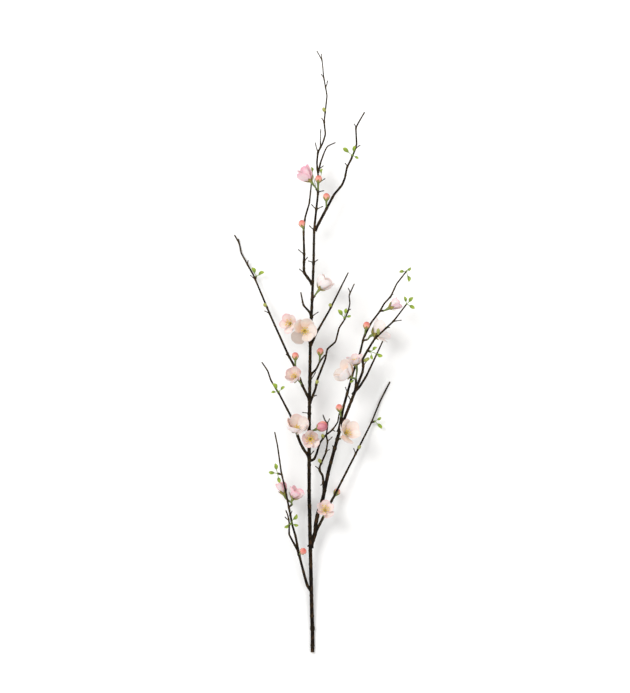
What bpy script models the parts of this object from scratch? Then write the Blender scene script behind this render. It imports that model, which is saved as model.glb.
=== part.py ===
"""A cut branch of apple blossom, laid down on a surface.

X runs across the branch, Y from the cut end towards the tip, and Z up from the surface.
The branch touches the surface at the heel of its stem and at the tips of two low shoots.
Lengths in the tables are millimetres, measured from the heel of the stem.
"""

import math
import random

import bmesh
import bpy
from mathutils import Matrix, Vector

MM = 0.001

# The wood.
SHOOT_SIDES = 4
LIMB_SIDES = 5
STEM_SIDES = 7
COLLAR = (1.45, 1.15)
STUB_RADII = (1.2, 0.6)
SPUR_RADII = (1.7, 1.5)
SEAT_GAP = 0.3
# How late a shoot thins towards its tip: 1 is a straight taper.
TAPER = {"leader": 1.5, "right_limb": 1.6}
SIDE_SHOOT_TAPER = 1.3
FLOOR = ((-200, -60, -10), (200, 1100, 0))

# One blossom, in its own frame: its axis is Z and the top of its green cup is at 0.
CUP_HEIGHT = 5.5
CUP_RADIUS = 3.0
PETAL_COUNT = 5
PETAL_THICKNESS = 0.7
PETAL_HUB = (0.3, 1.5)
CLAW_REACH = 2.0
CLAW_HALF_WIDTH = 0.6
CLAW_HEIGHT = 0.9
CLAW_BULGE = 0.25
# Share of a petal's length, and its half width there as a share of the greatest.
PETAL_OUTLINE = ((0.31, 0.66), (0.68, 1.0), (1.0, 0.7))
PETAL_CUPPING = 0.12
PETAL_SWIRL = 2.6
PETAL_SPIRAL = 0.3
PETAL_WRAP = 1.25
PETAL_JITTER = 0.05
PETAL_FLATTEST = 84
PETAL_WAVE = 0.3
# How far the middle of a petal's rim stands out past its corners, as a share of the length.
PETAL_ROUNDING = 0.14
PETAL_ROUND_FROM = 0.4
STAMEN_DISC = (1.8, 3.0)
STAMEN_DISC_RADIUS = 1.5
STAMEN_RING = 0.8
STAMEN_SPREAD = 32
# Places along a stamen and its radius there: the thin filament and the swollen anther.
STAMEN_PROFILE = ((0, 0.4), (7.2, 0.95), (9.0, 0.45))
SEPAL_COUNT = 5
SEPAL_LENGTH = 9.5
SEPAL_SPREAD = 12
SEPAL_FLATTEST = 82
# How far below the rim of its cup a flower stalk turns into the cup, and both radii there.
CUP_WAIST = 2.4
CUP_RADII = (2.8, 2.2)
STALK_RADII = (1.65, 1.4, 1.35)
STALK_BOW = 0.33
STALK_END = (0.8, 1.4)
FOOT_REACH = 1.4

# Round buds and leaves.
BUD_RADIUS = 5.8
BUD_CUP_GIRTH = 1.35
LEAF_BUD_RADII = (1.5, 3.1, 2.9, 0.8)
LEAF_THICKNESS = 0.65
LEAF_LENGTH = 13.0
LEAF_WIDTH = 8.0
# Place along a leaf from its centre as a share of its length, half width there, and rise of the rim.
LEAF_OUTLINE = ((-0.34, 0.42, 0.12), (0.12, 1.0, -0.12), (0.5, 0.42, 0.1))
LEAF_STALK_HALF_WIDTH = 0.55
LEAF_FOLD = 0.3
LEAF_DROOP = 0.35
# Each profile: places along the piece, and radii there, as shares of its length or radius.
BIG_BUD_PROFILE = ((-0.04, 0.11), (0.2, 0.37), (0.5, 0.47), (0.8, 0.36), (1.02, 0.08))
ROUND_BUD_PROFILE = ((-0.9, 0.3), (-0.3, 0.98), (0.4, 0.9), (1.02, 0.2))
ROUND_BUD_SEPALS = (13, 13)
KNOB = (2.4, (1.6, 1.4))

COLOURS = {
    "bark": ((0.060, 0.038, 0.028), 0.75),
    "petal": ((0.90, 0.78, 0.74), 0.55),
    "pink": ((0.86, 0.42, 0.42), 0.5),
    "stamen": ((0.90, 0.62, 0.12), 0.6),
    "calyx": ((0.30, 0.33, 0.06), 0.6),
    "leaf": ((0.38, 0.56, 0.10), 0.5),
}

# Each shoot: its route from its root in the wood to its tip, its radius at both ends, and its sides.
SHOOTS = {
    "leader": (
        [(0, -20, 2.6), (0, 18, 2.7), (-1, 46, 5), (-4, 171, 21), (-5, 224, 27), (-6, 266, 30),
         (-6, 386, 36), (-4, 536, 41), (2, 686, 43), (3, 744, 44), (10, 811, 46), (10, 843, 47),
         (8, 863, 48), (10, 883, 49), (18, 899, 50), (23, 915, 51), (21, 937, 51), (26, 985, 50),
         (20, 1019, 51), (17, 1048, 52), (8, 1065, 52)],
        (3.4, 0.8), STEM_SIDES),
    "right_limb": (
        [(-4, 171, 21), (1, 186, 23), (5, 198, 25), (6, 214, 28), (10, 234, 31), (18, 257, 35),
         (29, 310, 42), (49, 383, 52), (90, 489, 66), (91, 498, 67), (90, 510, 68), (112, 548, 72),
         (145, 579, 78), (168, 609, 81)],
        (3.0, 0.9), LIMB_SIDES),
    "inner_right": (
        [(47, 380, 51), (51, 402, 53), (56, 426, 52), (70, 476, 45), (77, 499, 44), (86, 524, 45),
         (92, 549, 49), (106, 577, 55), (121, 597, 60), (129, 611, 63), (140, 623, 65), (151, 646, 71),
         (168, 668, 77)],
        (1.9, 0.9), SHOOT_SIDES),
    "cluster_shoot": (
        [(73, 447, 60), (76, 453, 62), (78, 465, 64), (78, 475, 67)],
        (1.8, 1.5), SHOOT_SIDES),
    "outer_right": (
        [(73, 447, 60), (77, 453, 59), (85, 462, 57), (97, 481, 52), (128, 546, 29)],
        (1.6, 0.8), SHOOT_SIDES),
    "low_right": (
        [(5, 198, 25), (9, 205, 25), (26, 239, 28), (39, 264, 28), (77, 338, 18), (106, 395, 8),
         (123, 436, 2.6), (140, 469, 0.5)],
        (1.7, 0.95), SHOOT_SIDES),
    "low_left": (
        [(-2, 92, 10), (-8, 99, 12), (-12, 110, 14), (-24, 157, 23), (-31, 193, 29), (-36, 210, 31),
         (-49, 277, 42), (-56, 306, 43), (-63, 355, 43), (-68, 379, 43)],
        (1.9, 0.85), SHOOT_SIDES),
    "low_left_fork": (
        [(-24, 157, 23), (-27, 166, 25), (-42, 195, 33), (-42, 216, 36), (-45, 231, 36),
         (-48, 238, 36)],
        (1.5, 0.8), SHOOT_SIDES),
    "mid_left": (
        [(-6, 335, 34), (-9, 339, 36), (-15, 347, 38), (-22, 360, 41), (-40, 410, 46), (-61, 450, 43),
         (-75, 473, 40), (-81, 490, 39), (-91, 505, 38)],
        (1.9, 0.85), SHOOT_SIDES),
    "long_left": (
        [(-5, 436, 38), (-7, 441, 40), (-11, 449, 41), (-18, 463, 41), (-28, 490, 39), (-43, 517, 36),
         (-77, 592, 25), (-107, 663, 12), (-129, 703, 4), (-133, 721, 1.6), (-141, 735, 0.5)],
        (1.7, 0.95), SHOOT_SIDES),
    "crossing": (
        [(-5, 328, 34), (2, 330, 35), (7, 340, 36), (14, 361, 38), (24, 374, 40), (35, 383, 42),
         (45, 397, 46), (48, 413, 50)],
        (1.5, 0.85), SHOOT_SIDES),
    "rising": (
        [(21, 271, 37), (20, 281, 34), (18, 301, 30), (13, 310, 29), (13, 316, 29), (24, 342, 29),
         (27, 362, 29), (25, 373, 30), (27, 395, 32), (23, 400, 32), (19, 410, 33)],
        (1.6, 0.75), SHOOT_SIDES),
    "bud_twig": (
        [(-5, 476, 39), (-1, 485, 37), (6, 492, 36), (13, 506, 34), (22, 518, 33)],
        (1.5, 0.85), SHOOT_SIDES),
    "mid_right": (
        [(-5, 432, 38), (-1, 441, 40), (6, 460, 45), (8, 472, 47), (23, 511, 51), (27, 529, 52),
         (41, 542, 52), (48, 567, 52), (58, 583, 53), (65, 601, 54), (67, 611, 54), (66, 625, 55),
         (75, 646, 56)],
        (1.6, 0.75), SHOOT_SIDES),
    "straight_right": (
        [(-4, 535, 41), (-1, 540, 42), (6, 556, 45), (30, 598, 51), (64, 666, 58)],
        (1.6, 0.85), SHOOT_SIDES),
    "small_left": (
        [(-2, 588, 42), (-5, 595, 40), (-16, 608, 36), (-21, 631, 33)],
        (1.4, 0.8), SHOOT_SIDES),
    "upper_left": (
        [(0, 645, 42), (-3, 650, 42), (-15, 667, 40), (-15, 701, 37), (-16, 742, 38), (-13, 767, 41),
         (-6, 791, 42), (-2, 827, 42)],
        (1.8, 0.95), SHOOT_SIDES),
    "upper_right": (
        [(4, 742, 44), (9, 751, 45), (39, 807, 56), (53, 824, 60), (58, 836, 62), (62, 855, 65),
         (70, 871, 67), (79, 896, 71), (78, 926, 74), (93, 953, 77)],
        (1.9, 0.85), SHOOT_SIDES),
    "top_right": (
        [(10, 847, 47), (12, 853, 44), (14, 863, 42), (22, 885, 40), (27, 894, 39), (41, 901, 38)],
        (1.1, 0.65), SHOOT_SIDES),
}

# Thorn-like stubs and bud scars: where each stands on its shoot, its tip, and how far the tip rises.
STUBS = {
    "leader": [((0, 22), (4, 25), 2), ((-3, 334), (3, 346), 3), ((-5, 413), (-19, 415), 3),
               ((-5, 440), (8, 446), 3), ((-4, 470), (6, 488), 5), ((-1, 587), (11, 596), 4),
               ((1, 683), (10, 690), 4), ((1, 685), (-8, 688), -2), ((3, 744), (-6, 752), 1),
               ((9, 780), (19, 786), 4), ((7, 781), (-2, 790), 5), ((10, 811), (21, 814), 2),
               ((10, 827), (23, 836), 3), ((8, 852), (20, 859), 4), ((10, 883), (5, 901), -2),
               ((14, 892), (15, 925), 6), ((21, 937), (16, 945), 2), ((25, 1000), (27, 1012), 2),
               ((21, 1017), (15, 1024), 2), ((17, 1048), (16, 1060), 2)],
    "upper_right": [((62, 856), (58, 863), 2), ((77, 885), (86, 895), 3), ((78, 926), (74, 933), 2)],
    "upper_left": [((-15, 700), (-26, 709), -1), ((-15, 686), (-8, 695), 3),
                   ((-15, 667), (-24, 674), 1)],
    "small_left": [((-16, 608), (-19, 614), 2)],
    "long_left": [((-133, 721), (-134, 729), 3), ((-117, 682), (-116, 690), 2),
                  ((-105, 654), (-113, 663), 0), ((-79, 593), (-87, 598), 1),
                  ((-43, 514), (-48, 520), 2)],
    "low_left": [((-39, 229), (-37, 238), 2)],
    "low_left_fork": [((-44, 221), (-50, 227), 0)],
    "right_limb": [((39, 350), (36, 356), 2), ((69, 437), (64, 446), 2), ((92, 499), (97, 508), 2),
                   ((112, 548), (115, 558), 4), ((133, 566), (139, 568), 2),
                   ((145, 579), (160, 581), 2)],
    "inner_right": [((62, 451), (59, 461), 3), ((140, 623), (145, 628), 1)],
    "low_right": [((77, 340), (74, 350), 1)],
    "crossing": [((36, 384), (41, 381), 3)],
    "rising": [((19, 288), (14, 283), 1), ((13, 311), (5, 318), 2), ((24, 345), (31, 348), 1),
               ((27, 363), (36, 371), -2), ((27, 396), (31, 404), 1)],
    "mid_right": [((64, 597), (69, 601), 1), ((67, 629), (64, 639), 1)],
}

# Small green leaf buds that sit tight on the wood: shoot, foot, tip and rise.
LEAF_BUDS = [
    ("leader", (22, 955), (19, 963), 3),
    ("long_left", (-83, 605), (-88, 611), 3),
    ("straight_right", (34, 604), (31, 611), 3),
    ("mid_right", (7, 466), (9, 473), 4),
    ("low_right", (82, 348), (86, 355), 5),
    ("rising", (15, 323), (11, 331), 3),
    ("crossing", (19, 368), (18, 376), 2),
    ("right_limb", (97, 507), (102, 513), 3),
    ("right_limb", (114, 557), (118, 566), 5),
]

# Blossoms. "on": the shoot and the place that the spur leaves from; "seat": the spur's end;
# "base": the top of the cup; "petal": length and width; "opening": degrees from the axis at a
# petal's root and at its tip. Petal 0 points up the branch, before "roll". "lean": petals that
# stand apart, by number, and how many degrees further out.
BLOOMS = {
    "01": {"on": ("leader", (10, 811)), "seat": (7, 817, 51), "base": (-3, 831, 57),
           "facing": (-0.55, 0.82, 0.15), "petal": (29, 28), "opening": (38, 0), "roll": 30,
           "stamens": 0, "lean": {4: 14}},
    "02": {"on": ("leader", (-1, 618)), "seat": (4, 625, 46), "base": (13, 637, 50),
           "facing": (0.62, 0.77, 0.15), "petal": (27, 31), "opening": (58, 2), "roll": 50,
           "stamens": 6},
    "03": {"on": ("leader", (-4, 540)), "seat": (-10, 547, 45), "base": (-39, 575, 43),
           "facing": (-0.5, 0.12, 0.86), "petal": (19, 22), "opening": (70, 38), "roll": 30,
           "stamens": 7, "lean": {2: 12}},
    "04": {"on": None, "seat": None, "base": (-14, 561, 57),
           "facing": (0.02, 0.1, 1.0), "petal": (30, 33), "opening": (78, 10), "roll": -12,
           "stamens": 9, "lean": {2: 34}},
    "05": {"on": ("long_left", (-18, 463)), "seat": (-20, 466, 44), "base": (-29, 477, 52),
           "facing": (-0.45, 0.45, 0.77), "petal": (22, 29), "opening": (74, 0), "roll": 0,
           "stamens": 7},
    "06": {"on": ("mid_left", (-26, 372)), "seat": (-27, 375, 46), "base": (-28, 382, 53),
           "facing": (0.05, 0.72, 0.69), "petal": (31, 35), "opening": (76, -4), "roll": 12,
           "stamens": 6},
    "07": {"on": ("leader", (-6, 365)), "seat": (-6, 366, 41), "base": (-4, 367, 51),
           "facing": (0.03, 0.02, 1.0), "petal": (18, 24), "opening": (78, 25), "roll": 20,
           "stamens": 10, "lean": {3: 20}},
    "08": {"on": ("leader", (-6, 380)), "seat": (-1, 382, 41), "base": (9, 386, 46),
           "facing": (0.85, 0.42, 0.2), "petal": (19, 0), "opening": (0, 0), "roll": 0,
           "stamens": 0},
    "09": {"on": ("cluster_shoot", None), "seat": None, "base": (67, 481, 73),
           "facing": (-0.68, 0.6, 0.42), "petal": (31, 37), "opening": (66, 6), "roll": 24,
           "stamens": 6, "lean": {1: 30}},
    "10": {"on": None, "seat": None, "base": (78, 501, 56),
           "facing": (-0.24, 0.92, 0.3), "petal": (20, 24), "opening": (60, 24), "roll": 25,
           "stamens": 6},
    "11": {"on": ("right_limb", (46, 366)), "seat": (50, 368, 53), "base": (59, 377, 60),
           "facing": (0.5, 0.42, 0.76), "petal": (28, 32), "opening": (74, 14), "roll": 20,
           "stamens": 7, "lean": {2: 24}},
    "12": {"on": ("inner_right", (121, 597)), "seat": (127, 598, 60), "base": (138, 603, 61),
           "facing": (0.86, 0.5, 0.05), "petal": (22, 20), "opening": (30, 14), "roll": 0,
           "stamens": 0},
    "13": {"on": ("inner_right", (91, 544)), "seat": (98, 546, 49), "base": (109, 555, 50),
           "facing": (0.84, 0.43, -0.3), "petal": (31, 32), "opening": (60, 36), "roll": 54,
           "stamens": 6},
    "14": {"on": ("low_left", (-43, 244)), "seat": (-38, 248, 36), "base": (-51, 267, 29),
           "facing": (-0.34, 0.93, -0.08), "petal": (22, 20), "opening": (28, 6), "roll": 0,
           "stamens": 0},
    "15": {"on": None, "seat": None, "base": (-35, 260, 44),
           "facing": (0.48, 0.83, 0.25), "petal": (22, 24), "opening": (50, 18), "roll": 10,
           "stamens": 6},
    "16": {"on": ("low_right", (18, 222)), "seat": (20, 226, 31), "base": (22, 238, 42),
           "facing": (0.1, 0.42, 0.9), "petal": (19, 24), "opening": (74, 24), "roll": 0,
           "stamens": 7, "lean": {3: 18}},
}
# Blossoms that stand on one spur share their green parts.
CALYX_GROUPS = [("01",), ("02",), ("03", "04"), ("05",), ("06",), ("07",), ("09", "10"), ("11",),
                ("12",), ("13",), ("14", "15"), ("16",)]
BIG_BUD = "08"
# Small single leaves that grow from a blossom's or a bud's green foot: centre, length and tilt.
SMALL_LEAVES = {
    "calyx_01": [((-1, 852, 50), 9, 40)],
    "calyx_09_10": [((71, 471, 70), 8, 20)],
    "bud_1": [((16, 849, 55), 9, -30)],
}

# Round buds: shoot and place, seat, and centre of the ball.
ROUND_BUDS = {
    "1": (("leader", (10, 811)), (10, 815, 51), (11, 835, 60)),
    "2": (("upper_right", (25, 782)), (25, 785, 54), (25, 803, 59)),
    "3": (("upper_left", (-16, 740)), (-16, 743, 41), (-19, 755, 48)),
    "4": (("long_left", (-31, 496)), (-31, 499, 42), (-31, 517, 47)),
    "5": (("bud_twig", (13, 506)), (13, 509, 37), (14, 525, 41)),
    "6": (("inner_right", (93, 552)), (94, 556, 53), (97, 572, 61)),
    "7": (("inner_right", (52, 405)), (51, 408, 56), (48, 424, 62)),
    "8": (("low_right", (35, 256)), (36, 257, 24), (44, 271, 17)),
    "9": (("low_left", (-24, 157)), (-23, 159, 28), (-17, 165, 41)),
}

# Tufts of young leaves: shoot and place (None where they end the shoot), seat, and each leaf's
# centre, length and sideways tilt in degrees.
TUFTS = {
    "1": (("upper_right", (70, 871)), (71, 876, 70),
          [((60, 885, 73), 13, 20), ((75, 888, 75), 11, -30), ((79, 873, 72), 8, 10)]),
    "2": (("long_left", (-104, 654)), (-102, 660, 16),
          [((-106, 671, 19), 12, 20), ((-93, 666, 19), 12, -25)]),
    "3": (("mid_right", (58, 583)), (57, 585, 57),
          [((50, 594, 61), 13, 25), ((60, 597, 61), 10, -20), ((65, 588, 60), 8, 15)]),
    "4": (("inner_right", None), None,
          [((173, 672, 80), 9, 20), ((172, 656, 80), 12, -30), ((160, 668, 83), 10, 10)]),
    "5": (("right_limb", None), None,
          [((166, 618, 84), 10, 20), ((176, 617, 85), 12, -30), ((178, 605, 84), 11, 5)]),
    "6": (("right_limb", (98, 526)), (103, 525, 71),
          [((106, 515, 74), 9, 20), ((111, 530, 75), 10, -25), ((120, 518, 74), 11, 10)]),
    "7": (("low_right", (106, 396)), (112, 398, 10),
          [((120, 403, 13), 9, 15), ((121, 390, 12), 12, -25)]),
    "8": (("mid_left", (-61, 450)), (-61, 452, 46),
          [((-67, 462, 49), 13, 25), ((-54, 459, 49), 9, -15), ((-70, 452, 49), 8, 5)]),
    "9": (("low_left", (-56, 303)), (-62, 305, 44),
          [((-66, 317, 47), 12, 20), ((-73, 307, 47), 11, -15), ((-60, 294, 48), 11, 10)]),
    "10": (("low_left_fork", (-41, 212)), (-40, 214, 40),
           [((-31, 226, 43), 12, 25), ((-46, 210, 43), 10, -20), ((-30, 212, 43), 9, 10)]),
}


def material(name):
    """A plain Principled material in the part's own colour."""
    colour, roughness = COLOURS[name]
    made = bpy.data.materials.get(name) or bpy.data.materials.new(name)
    made.use_nodes = True
    shader = made.node_tree.nodes["Principled BSDF"]
    shader.inputs["Base Color"].default_value = (*colour, 1)
    shader.inputs["Roughness"].default_value = roughness
    made.diffuse_color = (*colour, 1)
    return made


def solid(points, faces):
    """A loose closed mesh object from points in millimetres, all triangles, facing out."""
    mesh = bpy.data.meshes.new("piece")
    mesh.from_pydata([Vector(p) * MM for p in points], [], faces)
    shape = bmesh.new()
    shape.from_mesh(mesh)
    bmesh.ops.triangulate(shape, faces=shape.faces)
    bmesh.ops.recalc_face_normals(shape, faces=shape.faces)
    shape.to_mesh(mesh)
    shape.free()
    piece = bpy.data.objects.new("piece", mesh)
    bpy.context.scene.collection.objects.link(piece)
    return piece


def fuse(name, pieces, colour):
    """One Boolean union of the pieces, applied, as the named node."""
    body, rest = pieces[0], pieces[1:]
    body.name = name
    if rest:
        joined = bpy.data.collections.new(name)
        bpy.context.scene.collection.children.link(joined)
        for piece in rest:
            bpy.context.scene.collection.objects.unlink(piece)
            joined.objects.link(piece)
        union = body.modifiers.new("Union", "BOOLEAN")
        union.operation = "UNION"
        union.operand_type = "COLLECTION"
        union.collection = joined
        bpy.context.view_layer.objects.active = body
        bpy.ops.object.modifier_apply(modifier=union.name)
        for piece in rest:
            bpy.data.objects.remove(piece)
        bpy.data.collections.remove(joined)
    return finished(body, colour)


def finished(body, colour):
    """Names the mesh after its object and gives it its one material."""
    body.data.name = body.name
    body.data.materials.clear()
    body.data.materials.append(material(colour))
    return body


def rings(route, radii, sides, across, rib=0.0, twist=0.0):
    """Corner points round a route, one ring at each of its points, carried along without turning.

    With rib, every second corner is drawn in, and twist turns each ring a little further.
    """
    route = [Vector(p) for p in route]
    points = []
    for i, place in enumerate(route):
        along = (route[min(i + 1, len(route) - 1)] - route[max(i - 1, 0)]).normalized()
        across = (across - along * across.dot(along)).normalized()
        upright = along.cross(across)
        for k in range(sides):
            angle = 2 * math.pi * k / sides + twist * i
            reach = radii[i] * (1 - rib * (k % 2))
            points.append(place + (across * math.cos(angle) + upright * math.sin(angle)) * reach)
    return points


def ring_faces(count, sides):
    """The sides of a tube of count rings."""
    return [(ring * sides + k, ring * sides + (k + 1) % sides,
             (ring + 1) * sides + (k + 1) % sides, (ring + 1) * sides + k)
            for ring in range(count - 1) for k in range(sides)]


def tube(route, radii, sides, rib=0.0, twist=0.0):
    """A closed tube along a route, with a flat cap at both ends."""
    along = (Vector(route[1]) - Vector(route[0])).normalized()
    across = Vector((0, 0, 1)) if abs(along.z) < 0.9 else Vector((1, 0, 0))
    points = rings(route, radii, sides, across, rib, twist)
    faces = ring_faces(len(route), sides)
    faces += [tuple(range(sides)), tuple(range(len(points) - sides, len(points)))]
    return solid(points, faces)


def grid_sheet(rows):
    """The points, triangles and normals of a grid, and its rim from the first row's end to its start."""
    wide, count = len(rows[0]), len(rows)
    points = [Vector(p) for row in rows for p in row]
    triangles = []
    for i in range(count - 1):
        for k in range(wide - 1):
            a, b = i * wide + k, i * wide + k + 1
            c, d = b + wide, a + wide
            triangles += [(a, b, c), (a, c, d)] if k % 2 else [(a, b, d), (b, c, d)]
    normals = [Vector() for _ in points]
    for a, b, c in triangles:
        normal = (points[b] - points[a]).cross(points[c] - points[a])
        for corner in (a, b, c):
            normals[corner] += normal
    last = (count - 1) * wide
    rim = [(i + 1) * wide - 1 for i in range(count)]
    rim += list(range(last + wide - 2, last, -1))
    rim += [i * wide for i in range(count - 1, -1, -1)]
    return points, triangles, [normal.normalized() for normal in normals], rim


def blade(rows, thickness):
    """A thin closed sheet on a grid of points, split into triangles alike on both faces."""
    points, triangles, normals, rim = grid_sheet(rows)
    count = len(points)
    rim += list(range(1, len(rows[0]))) if len(rows[0]) > 2 else rim[:1]
    top = [p + n * (thickness / 2) for p, n in zip(points, normals)]
    bottom = [p - n * (thickness / 2) for p, n in zip(points, normals)]
    faces = triangles + [tuple(count + k for k in face) for face in triangles]
    faces += [(a, b, count + b, count + a) for a, b in zip(rim, rim[1:])]
    return solid(top + bottom, faces)


def turned_to(facing, roll=0.0):
    """The rotation that takes Z to the facing, with Y as far up the branch as it goes, then rolled."""
    axis = Vector(facing).normalized()
    up = Vector((0, 1, 0)) if abs(axis.y) < 0.8 else Vector((0, 0, 1))
    side = up.cross(axis).normalized()
    turn = Matrix((side, axis.cross(side), axis)).transposed()
    return turn @ Matrix.Rotation(math.radians(roll), 3, "Z")


def on_shoot(name, x, y):
    """The point of a shoot's middle line nearest to a place seen from above."""
    route = [Vector(p) for p in SHOOTS[name][0]]
    place = Vector((x, y))
    best = None
    for start, end in zip(route, route[1:]):
        run = (end - start).xy
        share = min(1.0, max(0.0, (place - start.xy).dot(run) / run.length_squared))
        point = start.lerp(end, share)
        if best is None or (point.xy - place).length < (best.xy - place).length:
            best = point
    return best


def seat_of(on, seat):
    """Where green parts sit on the wood, and the way they leave it."""
    shoot, place = on
    if place is None:
        before, end = (Vector(p) for p in SHOOTS[shoot][0][-2:])
        return end, (end - before).normalized()
    start = on_shoot(shoot, *place)
    return Vector(seat), (Vector(seat) - start).normalized()


def seated():
    """Every (on, seat) pair that needs a woody spur."""
    rows = [(b["on"], b["seat"]) for b in BLOOMS.values() if b["on"]]
    rows += [(on, seat) for on, seat, _ in list(ROUND_BUDS.values()) + list(TUFTS.values())]
    return [(on, seat) for on, seat in rows if on[1] is not None]


def shoot_radii(name):
    """A slow taper that keeps the thickness low down, with a collar at the root."""
    route, (root, tip), _ = SHOOTS[name]
    power = TAPER.get(name, SIDE_SHOOT_TAPER)
    lengths = [0.0]
    for a, b in zip(route, route[1:]):
        lengths.append(lengths[-1] + (Vector(b) - Vector(a)).length)
    radii = [tip + (root - tip) * (1 - (s / lengths[-1]) ** power) for s in lengths]
    if name != "leader":
        radii[0] *= COLLAR[0]
        radii[1] *= COLLAR[1]
    return radii


def wood():
    pieces = [tube(route, shoot_radii(name), sides) for name, (route, _, sides) in SHOOTS.items()]
    for shoot, stubs in STUBS.items():
        for foot, tip, rise in stubs:
            start = on_shoot(shoot, *foot)
            pieces.append(tube([start, (*tip, start.z + rise)], STUB_RADII, 3))
    for shoot, foot, tip, rise in LEAF_BUDS:
        start = on_shoot(shoot, *foot)
        end = Vector((*tip, start.z + rise))
        route = [start.lerp(end, share) for share in (0, 0.35, 0.7, 1)]
        pieces.append(tube(route, LEAF_BUD_RADII, 6))
    for (shoot, place), seat in seated():
        pieces.append(tube([on_shoot(shoot, *place), seat], SPUR_RADII, 4))
    body = fuse("branch", pieces, "bark")
    floor = solid(*box(*FLOOR))
    cut = body.modifiers.new("Rest", "BOOLEAN")
    cut.operation = "DIFFERENCE"
    cut.object = floor
    bpy.context.view_layer.objects.active = body
    bpy.ops.object.modifier_apply(modifier=cut.name)
    bpy.data.objects.remove(floor)
    return body


def box(low, high):
    """Corners and faces of an upright box."""
    corners = [(x, y, z) for x in (low[0], high[0]) for y in (low[1], high[1])
               for z in (low[2], high[2])]
    faces = [(0, 1, 3, 2), (4, 6, 7, 5), (0, 4, 5, 1), (2, 3, 7, 6), (0, 2, 6, 4), (1, 5, 7, 3)]
    return corners, faces


def petal_rows(bloom, k, draw):
    """The middle surface of one petal: a narrow claw, a broad cupped blade and a rounded tip.

    Each point is turned round the flower's axis and drawn further in the further it is turned, so
    that a petal lies over its neighbour on one side and under it on the other, and never crosses it.
    A petal that leans out of the bowl lies under both its neighbours.
    """
    length, width = bloom["petal"]
    apart = bloom.get("lean", {})
    lean = apart.get(k, 0) + draw.uniform(-1, 1) * PETAL_JITTER * bloom["opening"][1]
    root = math.radians(min(PETAL_FLATTEST, bloom["opening"][0] + lean))
    tip = math.radians(bloom["opening"][1] + lean)
    azimuth = 2 * math.pi * k / PETAL_COUNT + draw.uniform(-1, 1) * PETAL_JITTER
    turn = Matrix.Rotation(azimuth, 3, "Z")
    rows = [[turn @ Vector((-CLAW_HALF_WIDTH * v, CLAW_REACH + CLAW_BULGE * (v == 0), CLAW_HEIGHT))
             for v in (-1, 0, 1)]]
    reach, height, before = CLAW_REACH, CLAW_HEIGHT, 0.0
    for share, half in PETAL_OUTLINE:
        middle = root + (tip - root) * (share + before) / 2
        reach += length * (share - before) * math.sin(middle)
        height += length * (share - before) * math.cos(middle)
        before = share
        angle = root + (tip - root) * share
        half_width = width / 2 * half
        wrap = PETAL_WRAP * math.tanh(half_width / reach / PETAL_WRAP)
        swirl = min(PETAL_SWIRL, PETAL_SPIRAL * reach)
        row = []
        for v in (-1, 0, 1):
            side = -abs(v) if k in apart else abs(v) if (k - 1) % PETAL_COUNT in apart else v
            inward = PETAL_CUPPING * half_width * v * v + swirl * wrap * side
            inward += draw.uniform(-1, 1) * PETAL_WAVE * share
            forward = length * PETAL_ROUNDING * share * share * (PETAL_ROUND_FROM - v * v)
            out = reach - inward * math.cos(angle) + forward * math.sin(angle)
            up = height + inward * math.sin(angle) + forward * math.cos(angle)
            row.append(Matrix.Rotation(azimuth + wrap * v, 3, "Z") @ Vector((0, out, up)))
        rows.append(row)
    return rows


def petals(name, bloom):
    """Five petals round one small hub, as one closed body in the flower's own frame."""
    draw = random.Random(int(name))
    low, high = PETAL_HUB
    points, faces, claws = [], [], []
    for k in range(PETAL_COUNT):
        middle, triangles, normals, rim = grid_sheet(petal_rows(bloom, k, draw))
        first, count = len(points), len(middle)
        for side, level in ((-0.5, high), (0.5, low)):
            sheet = [p + n * (PETAL_THICKNESS * side) for p, n in zip(middle, normals)]
            sheet[:3] = [Vector((p.x, p.y, level)) for p in middle[:3]]
            points += sheet
        for layer in (first, first + count):
            faces += [tuple(layer + corner for corner in face) for face in triangles]
        faces += [(first + a, first + b, first + count + b, first + count + a)
                  for a, b in zip(rim, rim[1:])]
        claws.append((first, first + count))
    for layer in (0, 1):
        faces.append(tuple(claw[layer] + i for claw in claws for i in range(3)))
    for (top, bottom), (next_top, next_bottom) in zip(claws, claws[1:] + claws[:1]):
        faces.append((top + 2, next_top, next_bottom, bottom + 2))
    corolla = solid(points, faces)
    corolla.name = "petals_" + name
    return placed(finished(corolla, "petal"), bloom)


def stamens(name, bloom):
    """A ring of filaments with swollen ends, on a small disc inside the petals."""
    count = bloom["stamens"]
    low, high = STAMEN_DISC
    spread = math.radians(min(STAMEN_SPREAD, sum(bloom["opening"]) * 0.4))
    pieces = [tube([(0, 0, low), (0, 0, high)], (STAMEN_DISC_RADIUS,) * 2, 5)]
    heights, radii = zip(*STAMEN_PROFILE)
    for k in range(count):
        azimuth = 2 * math.pi * k / count + 0.3
        lean = spread * (1.0 if k % 2 else 0.55)
        growth = Vector((math.sin(lean) * math.cos(azimuth), math.sin(lean) * math.sin(azimuth),
                         math.cos(lean)))
        foot = Vector((math.cos(azimuth), math.sin(azimuth), 0)) * STAMEN_RING
        foot.z = high - 0.7
        pieces.append(tube([foot + growth * s for s in heights], radii, 3))
    return placed(fuse("stamens_" + name, pieces, "stamen"), bloom)


def placed(node, bloom):
    """Puts a node made in the flower's own frame in its place on the branch."""
    node.location = Vector(bloom["base"]) * MM
    node.rotation_euler = turned_to(bloom["facing"], bloom["roll"]).to_euler()
    return node


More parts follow.
